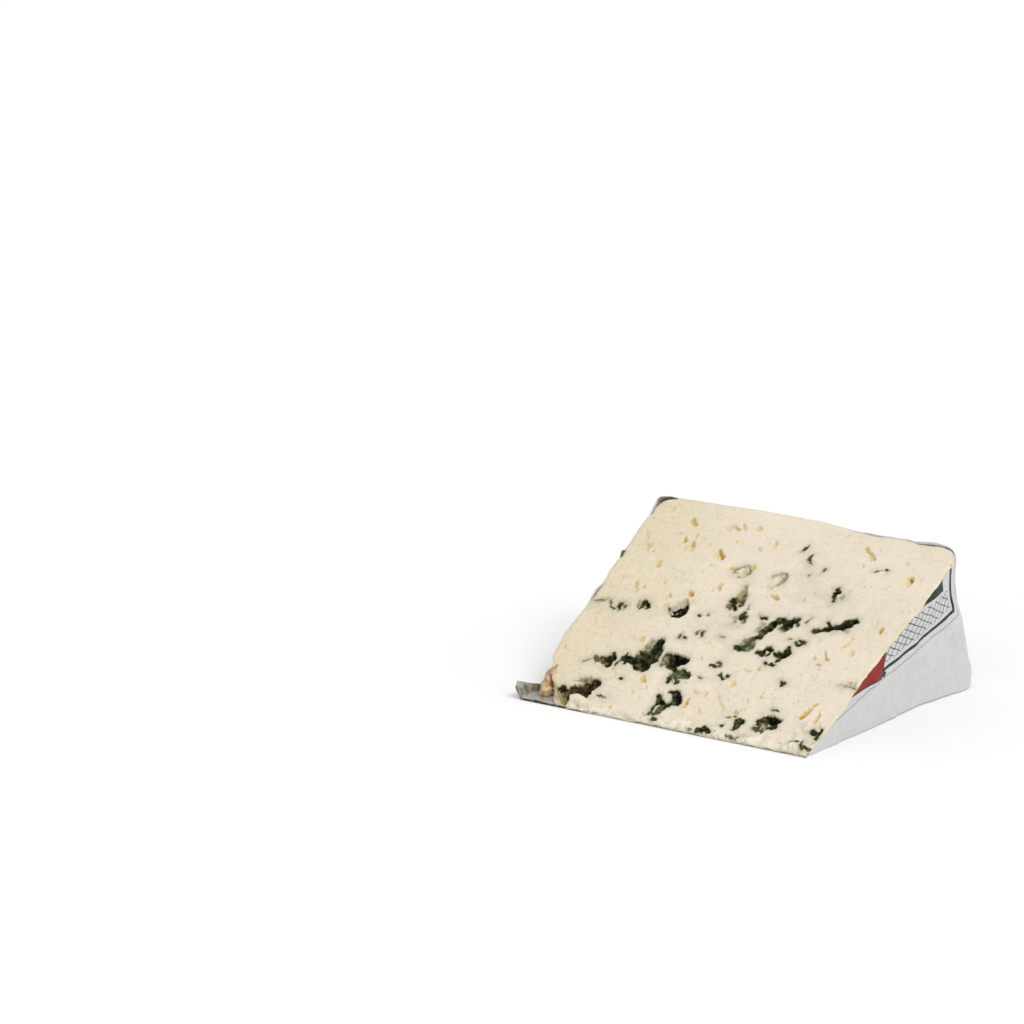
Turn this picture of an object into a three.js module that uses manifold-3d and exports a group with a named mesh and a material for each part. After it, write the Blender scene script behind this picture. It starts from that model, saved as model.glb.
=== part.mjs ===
// A wedge cut from a wheel of blue sheep's-milk cheese, lying on its foil-covered side with the fresh
// cut face up. Millimetres, +Z up. X runs along the wheel's axis, Y from the axis to the outer wall.
import * as THREE from "three";
import { mergeVertices } from "three/addons/utils/BufferGeometryUtils.js";
import Module from "manifold-3d";

const wasm = await Module();
wasm.setup();

// The wheel that the wedge was cut from
const WHEEL_RADIUS = 95;
const WHEEL_HEIGHT = 108;
const RIM_ROUND = 8;
const FACE_DISH = { left: 3, right: 2 };
const WEDGE_ANGLE = THREE.MathUtils.degToRad(29.1);

// The printed foil that wraps every side but the fresh cut
const FOIL_THICKNESS = 0.6;
const FOIL_GAP = 0.3;
const FOIL_SHORT = 0.3;
const FOIL_CRUMPLE = 0.7;
const PASTE_INSET = FOIL_THICKNESS + FOIL_GAP;

// How uneven the wheel and the cut are. The thin front edge was torn rather than cut, and stands proud.
const WHEEL_UNEVEN = 1.1;
const CUT_UNEVEN = 0.45;
const FRONT_PROUD = 0.8;
const FRONT_BAND = 5;
const FRONT_START = 0.4;

// Broad swellings of the wheel: place along its axis, out from it and up, then reach and height
const SWELLINGS = [
  [54, 92, 0, 30, 2.4],
  [-18, 83, 46, 26, 1.3],
  [-54, 34, 16, 22, 1.3],
];

// Mesh steps
const TURN_STEPS = 120;
const FACE_STEP = 9;
const WALL_STEP = 6;
const ROUND_STEPS = 4;
const CUT_STEP = 6;
const REACH = 160;

// Pockets of mould that the knife opened, on the cut face: place across it from the left, out of
// FACE_ACROSS, place up it from the axis edge, length, width, and turn of the length in degrees
const FACE_ACROSS = 105;
const MOULD_POCKETS = [
  [33.5, 32.5, 8.5, 6, 80],
  [33, 26.3, 9.5, 7.5, 20],
  [26.6, 25.8, 6, 3.6, -10],
  [21, 24.6, 5.4, 5, 35],
  [42.5, 29, 10, 5.8, -12],
  [47, 23.6, 7.4, 5.6, 25],
  [50.4, 13, 6.4, 5.6, 60],
  [47.6, 7.4, 8.6, 3.8, 82],
  [20.4, 11, 8.4, 6, 40],
  [13.6, 6.6, 6, 4.6, -30],
  [48, 59.6, 10, 4.4, 102],
  [54, 52.8, 5.4, 4, 120],
  [64.6, 50, 9, 5.4, 62],
  [70.2, 53, 7.6, 4.8, 15],
  [61.4, 41, 6.4, 5, 15],
  [68.4, 39.6, 5.4, 3.4, 15],
  [75.2, 41, 7.4, 3.8, 68],
  [78.2, 46, 3.6, 3.2, 0],
  [81.2, 53, 5, 2.8, 30],
  [85.6, 56.2, 6.4, 3.8, 38],
  [89.2, 58.8, 4.6, 3.4, 40],
  [78.4, 67.6, 6, 2.6, 98],
  [86.6, 11.8, 7, 5, 15],
  [84.2, 7.8, 5.2, 4.4, 60],
  [76, 8.4, 6, 3.6, 70],
  [66.6, 2.4, 6.4, 4, 10],
  [56.2, 31, 3.8, 3, 0],
  [61.4, 26.6, 3.8, 2.8, 10],
  [20, 50, 4, 3.6, 30],
  [33, 49.6, 9, 6.4, 110],
  [57, 70.6, 7, 5.6, 70],
  [43.6, 71, 7.6, 5, 0],
  [103.6, 10, 4.4, 4, 40],
  [101, 4, 7.6, 3.6, -20],
];
const POCKET_DEPTH = 0.85;

// Clean gas holes without mould, given in the same way
const EYES = [
  [17, 87, 3.4, 3, 0],
  [32.4, 88, 6, 2.4, 10],
  [47.5, 84, 3.2, 2.8, 0],
  [18, 79.4, 3.4, 2, 100],
  [21.8, 77.6, 5, 2.6, 100],
  [33, 76.4, 5.4, 4.2, -40],
  [8, 73.6, 3, 2.6, 0],
  [40, 63.2, 3, 3, 0],
  [32.4, 58, 2.2, 2, 0],
  [13, 56.4, 3.8, 2.4, 110],
  [59.4, 62.4, 4.2, 2.6, -20],
  [81, 87, 7, 2.8, -48],
  [98.4, 79.6, 4.4, 2.6, 100],
  [100.5, 57, 3, 2.4, 100],
  [92, 50.4, 4.6, 2.6, 85],
  [96, 46, 2.8, 2.6, 0],
  [88.5, 42.4, 5, 3, -50],
  [94.8, 17.6, 8, 3.2, 75],
  [100, 15.6, 6, 2.6, 100],
  [37, 19, 4, 3.4, 0],
];
const EYE_DEPTH = 0.9;

// The corner that crumbled away: bites given as place across, place up, and size on each of three ways
const CORNER_BITES = [
  [0, 4, 20, 20, 30],
  [9, 0, 14, 9, 20],
  [-2, 14, 6, 14, 30],
];

// Smooth noise from -1 to 1 on a lattice of random heights.
function noise(x, y, z, seed = 0) {
  const height = (i, j, k) => {
    const s = Math.sin(i * 127.1 + j * 311.7 + k * 74.7 + seed * 53.3) * 43758.5453;
    return 2 * (s - Math.floor(s)) - 1;
  };
  const ease = (t) => t * t * (3 - 2 * t);
  const [i, j, k] = [x, y, z].map(Math.floor);
  const [u, v, w] = [x - i, y - j, z - k].map(ease);
  const mix = THREE.MathUtils.lerp;
  const edge = (dj, dk) => mix(height(i, j + dj, k + dk), height(i + 1, j + dj, k + dk), u);
  return mix(mix(edge(0, 0), edge(1, 0), v), mix(edge(0, 1), edge(1, 1), v), w);
}

// A geometry with only its positions, and one vertex for each place.
function merged(geometry) {
  const bare = geometry.clone();
  bare.deleteAttribute("normal");
  bare.deleteAttribute("uv");
  return mergeVertices(bare, 1e-4);
}

function toSolid(geometry) {
  const { index, attributes } = merged(geometry);
  return new wasm.Manifold(
    new wasm.Mesh({
      numProp: 3,
      vertProperties: attributes.position.array,
      triVerts: new Uint32Array(index.array),
    }),
  );
}

function toGeometry(manifold) {
  const { vertProperties, triVerts } = manifold.getMesh();
  const geometry = new THREE.BufferGeometry();
  geometry.setAttribute("position", new THREE.BufferAttribute(vertProperties, 3));
  geometry.setIndex(new THREE.BufferAttribute(triVerts, 1));
  return geometry;
}

// Moves each vertex of a merged geometry by rule(position), which changes the position in place.
function reshape(geometry, rule) {
  const { position } = geometry.attributes;
  const point = new THREE.Vector3();
  for (let i = 0; i < position.count; i++) {
    point.fromBufferAttribute(position, i);
    rule(point, i);
    position.setXYZ(i, point.x, point.y, point.z);
  }
  return geometry;
}

const steps = (from, to, step) => {
  const count = Math.max(1, Math.round(Math.abs(to - from) / step));
  return Array.from({ length: count + 1 }, (_, i) => from + ((to - from) * i) / count);
};

// Half of the wheel's outline from its axis to the start of the outer wall, as [radius, height]: a face
// that sinks towards the middle by the dish, then the rounded rim.
function faceOutline(inset, dish) {
  const round = RIM_ROUND - inset;
  const flat = WHEEL_RADIUS - RIM_ROUND;
  const height = WHEEL_HEIGHT / 2 - inset;
  const face = [0, ...steps(FACE_STEP * 1.5, flat, FACE_STEP)].map((r) => [
    r,
    height - dish * (1 - (r / flat) ** 2),
  ]);
  const rim = steps(0, Math.PI / 2, Math.PI / 2 / ROUND_STEPS)
    .slice(1)
    .map((a) => [flat + round * Math.sin(a), height - round * (1 - Math.cos(a))]);
  return [...face, ...rim];
}

// The whole wheel, pulled in all round by the inset, with its axis along X. Its skin wanders a little,
// and crumple pushes it out in creases, as the foil is.
function wheel(inset, crumple) {
  const lower = faceOutline(inset, FACE_DISH.left).map(([r, h]) => [r, -h]);
  const upper = faceOutline(inset, FACE_DISH.right).reverse();
  const [wallRadius, wallLow] = lower.at(-1);
  const wall = steps(wallLow, upper[0][1], WALL_STEP)
    .slice(1, -1)
    .map((h) => [wallRadius, h]);
  const outline = [...lower, ...wall, ...upper].map(([r, h]) => new THREE.Vector2(r, h));
  // Half a step of turn keeps every corner of the skin off the flat underside.
  const lathe = new THREE.LatheGeometry(outline, TURN_STEPS, Math.PI / TURN_STEPS);
  const skin = merged(lathe.rotateZ(-Math.PI / 2));
  skin.computeVertexNormals();
  const { normal } = skin.attributes;
  const out = new THREE.Vector3();
  reshape(skin, (p, i) => {
    const wander = WHEEL_UNEVEN * noise(p.x / 34, p.y / 34, p.z / 34, 1);
    const crease = crumple * (1 - Math.abs(noise(p.x / 11, p.y / 11, p.z / 11, 2)));
    const push = wander + crease + swelling(p);
    p.addScaledVector(out.fromBufferAttribute(normal, i), push);
  });
  return toSolid(skin);
}

function swelling(point) {
  return SWELLINGS.reduce((sum, [x, y, z, reach, height]) => {
    const away = Math.hypot(point.x - x, point.y - y, point.z - z) / reach;
    return sum + height * Math.exp(-3 * away * away);
  }, 0);
}

// Places a solid's geometry on the cut face: X along it, Y up it, Z out of it.
const cutPlane = new THREE.Matrix4().makeRotationX(WEDGE_ANGLE);

// Everything above the knife's cut, with its underside at rise(x, up) over the true plane.
function aboveCut(rise) {
  const wide = WHEEL_HEIGHT + 4 * CUT_STEP;
  const tall = WHEEL_RADIUS + 4 * CUT_STEP;
  const columns = Math.round(wide / CUT_STEP);
  const rows = Math.round(tall / CUT_STEP);
  const block = new THREE.BoxGeometry(wide, tall, REACH, columns, rows, 1);
  block.translate(0, tall / 2 - 2 * CUT_STEP, REACH / 2);
  const shaped = reshape(merged(block), (p) => {
    if (p.z < 1) p.z += rise(p.x, p.y);
  });
  return toSolid(shaped.applyMatrix4(cutPlane));
}

// All that lies above the height bottom and behind the place front.
function beyond(front, bottom) {
  const block = new THREE.BoxGeometry(2 * REACH, REACH, REACH);
  return toSolid(block.translate(0, front + REACH / 2, bottom + REACH / 2));
}

// The place along the wheel's axis of a point of the cut face, between its dished ends.
function across(place, up) {
  const inward = 1 - up / WHEEL_RADIUS;
  const left = -WHEEL_HEIGHT / 2 + FACE_DISH.left * inward;
  const right = WHEEL_HEIGHT / 2 - FACE_DISH.right * inward;
  return THREE.MathUtils.lerp(left, right, place / FACE_ACROSS);
}

// An uneven lump of the given size, sunk into the cut face.
function lump(place, up, sunk, size, turn, detail, seed) {
  const ball = reshape(merged(new THREE.IcosahedronGeometry(0.5, detail)), (p) => {
    const at = p.clone().multiplyScalar(3.4);
    p.multiplyScalar(1 + 0.32 * noise(at.x, at.y, at.z, seed));
  });
  const stance = new THREE.Matrix4().compose(
    new THREE.Vector3(across(place, up), up, -sunk),
    new THREE.Quaternion().setFromAxisAngle(new THREE.Vector3(0, 0, 1), turn),
    new THREE.Vector3(...size),
  );
  return toSolid(ball.applyMatrix4(stance).applyMatrix4(cutPlane));
}

// The hollows of one list, each as deep as its width times the depth. Long ones have more facets.
function hollows(list, depth, seed) {
  return list.map(([place, up, long, wide, turn], i) => {
    const deep = 2 * depth * wide;
    const detail = long > 6.5 ? 2 : 1;
    const angle = THREE.MathUtils.degToRad(turn);
    return lump(place, up, 0.06 * deep, [long, wide, deep], angle, detail, seed + i);
  });
}

// The cheese itself, with its rind: what the knife left of the wheel, less every hollow and the corner
// that crumbled away.
function makePaste() {
  const cutRise = (x, up) => {
    const proud = FRONT_PROUD * Math.exp(-((up / FRONT_BAND) ** 2));
    return proud + CUT_UNEVEN * noise(x / 7, up / 7, 0, 3);
  };
  const bites = CORNER_BITES.map(([place, up, ...size], i) => lump(place, up, 0, size, 0, 3, 90 + i));
  const taken = wasm.Manifold.union([
    aboveCut(cutRise),
    ...hollows(MOULD_POCKETS, POCKET_DEPTH, 10),
    ...hollows(EYES, EYE_DEPTH, 50),
    ...bites,
  ]);
  return wheel(PASTE_INSET, 0).intersect(beyond(FRONT_START, PASTE_INSET)).subtract(taken);
}

// How far the foil's edge stands over the cut. It ends just short of the cut, and folds up a little
// along the front. The left wall is torn down where the corner crumbled, and a tip is left standing.
const FRONT_FOLD = 1.2;
const TIP_HEIGHT = 4.2;
const TEAR_DEPTH = 4.6;
const TEAR_AT = 17;
const TEAR_SPREAD = 6;
const LEFT_WALL = FACE_DISH.left - WHEEL_HEIGHT / 2;
function foilEdge(x, up) {
  const fade = (distance, reach) => Math.exp(-((Math.max(distance, 0) / reach) ** 2));
  const front = FRONT_FOLD * fade(up, FRONT_BAND);
  const tip = TIP_HEIGHT * fade(up, 6) * fade(x - LEFT_WALL, 6);
  const tear = TEAR_DEPTH * fade(x - LEFT_WALL, 10) * fade(Math.abs(up - TEAR_AT), TEAR_SPREAD);
  return front + tip - tear - FOIL_SHORT;
}

// The foil: a tray of one sheet under the wedge and up its three walls. Its tip leans outwards.
const TIP_LEAN = 0.55;
const TIP_REACH = 16;
function makeFoil() {
  const outer = wheel(0, FOIL_CRUMPLE).intersect(beyond(0, 0));
  const inner = wheel(FOIL_THICKNESS, FOIL_CRUMPLE).intersect(beyond(-REACH / 4, FOIL_THICKNESS));
  const tray = toGeometry(outer.subtract(inner).subtract(aboveCut(foilEdge)));
  return reshape(tray, (p) => {
    const away = Math.hypot(p.x - LEFT_WALL, p.y) / TIP_REACH;
    p.x -= TIP_LEAN * p.z * Math.sqrt(Math.max(0, 1 - away));
  });
}

function piece(name, geometry, material) {
  const mesh = new THREE.Mesh(geometry, material);
  mesh.name = name;
  return mesh;
}

const pasteFinish = new THREE.MeshStandardMaterial({ color: 0xeadfc6, roughness: 0.55, metalness: 0 });
const foilFinish = new THREE.MeshStandardMaterial({ color: 0xd6d7dd, roughness: 0.38, metalness: 0.6 });

const wedge = new THREE.Group();
wedge.add(
  piece("cheese_paste", toGeometry(makePaste()), pasteFinish),
  piece("foil_wrap", makeFoil(), foilFinish),
);
// The origin is the middle of the face that it rests on.
wedge.position.y = -WHEEL_RADIUS / 2;

const part = new THREE.Group();
part.add(wedge);
export default part;
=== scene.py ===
import math

import bpy
import numpy as np
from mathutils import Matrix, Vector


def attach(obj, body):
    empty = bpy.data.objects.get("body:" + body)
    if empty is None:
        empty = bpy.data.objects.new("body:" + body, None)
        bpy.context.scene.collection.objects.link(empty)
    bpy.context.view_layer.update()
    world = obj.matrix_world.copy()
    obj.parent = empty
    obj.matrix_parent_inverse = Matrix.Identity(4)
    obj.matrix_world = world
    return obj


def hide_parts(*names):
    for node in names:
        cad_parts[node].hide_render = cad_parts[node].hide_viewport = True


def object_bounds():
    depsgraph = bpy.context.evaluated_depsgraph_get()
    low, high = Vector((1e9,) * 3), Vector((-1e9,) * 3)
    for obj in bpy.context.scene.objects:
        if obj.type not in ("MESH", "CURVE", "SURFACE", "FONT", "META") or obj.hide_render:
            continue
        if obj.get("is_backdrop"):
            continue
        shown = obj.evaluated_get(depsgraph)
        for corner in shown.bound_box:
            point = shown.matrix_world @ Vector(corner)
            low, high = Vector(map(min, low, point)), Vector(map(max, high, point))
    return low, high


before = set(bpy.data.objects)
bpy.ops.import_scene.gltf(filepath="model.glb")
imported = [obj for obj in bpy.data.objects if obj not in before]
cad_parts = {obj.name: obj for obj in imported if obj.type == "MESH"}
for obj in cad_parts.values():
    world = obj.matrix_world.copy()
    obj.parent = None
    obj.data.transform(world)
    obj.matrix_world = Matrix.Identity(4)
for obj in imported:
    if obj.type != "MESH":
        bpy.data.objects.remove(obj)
cad_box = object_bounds()


# The cheese
# One block of moist ivory curd, cut out of its wheel by a wire. The wire opened clean gas holes and the
# pockets that blue mould lines, and the thin corner at the left of the front edge crumbled away.

WHEEL_RADIUS = 95.0
WHEEL_HEIGHT = 108.0
RIM_ROUND = 8.0
DISH_LEFT, DISH_RIGHT = 3.0, 2.0
WEDGE_ANGLE = math.radians(29.1)
WHEEL_UNEVEN = 1.1
# Broad swellings: place along the axis, out from it and up, then reach and height
SWELLINGS = [
    (54, 92, 0, 30, 2.4),
    (-18, 83, 46, 26, 1.3),
    (-54, 34, 16, 22, 1.3),
    (-52, 82, 45, 7, 2.0),
    (53, 80, 44, 9, 1.6),
    (54, 60, 33, 34, 1.3),
]

SLOPE = np.array([0, math.cos(WEDGE_ANGLE), math.sin(WEDGE_ANGLE)])
CUT_NORMAL = np.array([0, -math.sin(WEDGE_ANGLE), math.cos(WEDGE_ANGLE)])
FACE_LENGTH = WHEEL_RADIUS - RIM_ROUND


def smoothstep(low, high, x):
    """0 below low, 1 above high, and 3t^2 - 2t^3 between them. It falls where low is the greater."""
    t = np.clip((x - low) / (high - low), 0, 1)
    return t * t * (3 - 2 * t)


def bell(x, reach):
    """The exponential of minus x over reach squared: 1 at 0, near 0 at twice the reach."""
    return np.exp(-((x / reach) ** 2))


def lattice(i, j, k, seed):
    """A fixed random height from -1 to 1 for each lattice corner: twice the fraction of a steep sine."""
    wave = np.sin(i * 127.1 + j * 311.7 + k * 74.7 + seed * 53.3) * 43758.5453
    return 2 * (wave - np.floor(wave)) - 1


def noise(x, y, z=0.0, size=1.0, seed=0):
    """Value noise whose grain has this size: the corner heights of each lattice cell, blended by
    3t^2 - 2t^3 along each axis."""
    x, y, z = (axis / size for axis in np.broadcast_arrays(x, y, z))
    i, j, k = np.floor(x), np.floor(y), np.floor(z)
    u, v, w = (t * t * (3 - 2 * t) for t in (x - i, y - j, z - k))
    total = np.zeros(x.shape)
    for dk, share_k in ((0, 1 - w), (1, w)):
        for dj, share_j in ((0, 1 - v), (1, v)):
            for di, share_i in ((0, 1 - u), (1, u)):
                total += share_i * share_j * share_k * lattice(i + di, j + dj, k + dk, seed)
    return total


def layered(x, y, z=0.0, size=1.0, seed=0, layers=3):
    """Noise plus half as much at twice the detail, and so on, for the given number of layers."""
    return sum(noise(x, y, z, size / 2**n, seed + n) / 2**n for n in range(layers))


def skin_stops(inset):
    """Path lengths along half of the wheel's section at which its straight and round stretches meet."""
    quarter = math.pi / 2 * (RIM_ROUND - inset)
    return np.cumsum([FACE_LENGTH, quarter, WHEEL_HEIGHT - 2 * RIM_ROUND, quarter, FACE_LENGTH])


def skin(path, turn, inset):
    """Points and normals of the wheel's skin, pulled in by inset, at a path length and a turn.

    The path runs out along the left face, round the rim, across the outer wall, round the other rim and
    in along the right face. The normal turns by half a circle over the two rims, a face sinks by its
    dish times one less the squared share of its radius, and the turn carries the path round the axis.
    The skin is then pushed out by slow noise and by the swellings.
    """
    path, turn = np.broadcast_arrays(path, turn)
    round_radius = RIM_ROUND - inset
    stops = skin_stops(inset)
    left_face = np.clip(path, 0, stops[0])
    left_turn = np.clip((path - stops[0]) / round_radius, 0, math.pi / 2)
    wall = np.clip(path - stops[1], 0, stops[2] - stops[1])
    right_turn = np.clip((path - stops[2]) / round_radius, 0, math.pi / 2)
    right_face = np.clip(path - stops[3], 0, FACE_LENGTH)
    radius = left_face + round_radius * (np.sin(left_turn) + np.cos(right_turn) - 1) - right_face
    x = inset - WHEEL_HEIGHT / 2 + round_radius * (1 - np.cos(left_turn) + np.sin(right_turn)) + wall
    sunk = np.clip(1 - (radius / FACE_LENGTH) ** 2, 0, 1)
    x = x + np.where(path < stops[2], DISH_LEFT, -DISH_RIGHT) * sunk
    lean = left_turn + right_turn
    points = np.stack([x, radius * np.cos(turn), radius * np.sin(turn)], -1)
    normals = np.stack([-np.cos(lean), np.sin(lean) * np.cos(turn), np.sin(lean) * np.sin(turn)], -1)
    push = WHEEL_UNEVEN * noise(*np.moveaxis(points, -1, 0), size=34, seed=1)
    for *centre, reach, height in SWELLINGS:
        away = np.linalg.norm(points - centre, axis=-1) / reach
        push = push + height * np.exp(-3 * away**2)
    return points + normals * push[..., None], normals


# The foil's edge against the cut, which the cream meets: short of it by this much, with bits that stand
# proud. By the crumbled corner it keeps to its own height: how far along the path, and how far up.
FOIL_SHORT = 0.45
TORN_OUT = (0, 2.5, 9, 14, 17, 21, 26, 31)
TORN_UP = (3.2, 4.6, 3.4, 2.3, 2.6, 5.6, 10.5, 14.6)
# Where it stands proud: how far along the path of the skin, its reach and its height
PROUD = [(50, 3.5, 1.3), (68, 1.6, 1.4), (92, 4.0, 1.9), (172, 14, 0.45), (191, 6, 0.8)]
# How high the ridges of creased foil are, by their grain: coarse, medium and fine
COARSE_CREASE, MEDIUM_CREASE, CRINKLE = 0.7, 0.22, 0.07


def foil_edge(path, inset):
    """How far the foil's edge stands over the cut plane, straight up, along the path of the skin."""
    stops = skin_stops(inset)
    torn = np.interp(path, TORN_OUT, TORN_UP) - path * math.sin(WEDGE_ANGLE)
    rise = torn + (-FOIL_SHORT - torn) * smoothstep(TORN_OUT[-2], TORN_OUT[-1], path)
    rise += FOIL_SHORT * bell(stops[4] - path, 4)
    for middle, reach, height in PROUD:
        rise += height * bell(path - middle, reach) * (1 + 0.15 * noise(path / 2.1, 0.5, seed=31))
    return rise + 0.08 * noise(path / 2.3, 1.5, seed=32)


def creased(points):
    """How far foil stands out: sharp ridges of 11 mm and 4.5 mm grain, each one less the size of a
    noise, with fine crinkles on them."""
    coarse = 1 - np.abs(noise(*np.moveaxis(points, -1, 0), size=11, seed=2))
    medium = 1 - np.abs(noise(*np.moveaxis(points, -1, 0), size=4.5, seed=9))
    crinkle = layered(*np.moveaxis(points, -1, 0), size=2.2, seed=10, layers=2)
    return COARSE_CREASE * coarse + MEDIUM_CREASE * (medium - 1) + CRINKLE * crinkle


# Places on the cut face, as across it from the left out of FACE_ACROSS, and up it from the axis.
FACE_ACROSS = 105.0


def face_ends(up):
    """Where the two dished ends of the wheel bound the cut, along the axis, at a distance up it."""
    inward = 1 - up / WHEEL_RADIUS
    return DISH_LEFT * inward - WHEEL_HEIGHT / 2, WHEEL_HEIGHT / 2 - DISH_RIGHT * inward


def face_place(points):
    """The place across and up of points near the cut plane: across is the share between the two ends,
    times FACE_ACROSS, and up is the distance along the slope."""
    up = points @ SLOPE
    low, high = face_ends(up)
    return FACE_ACROSS * (points[..., 0] - low) / (high - low), up


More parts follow.
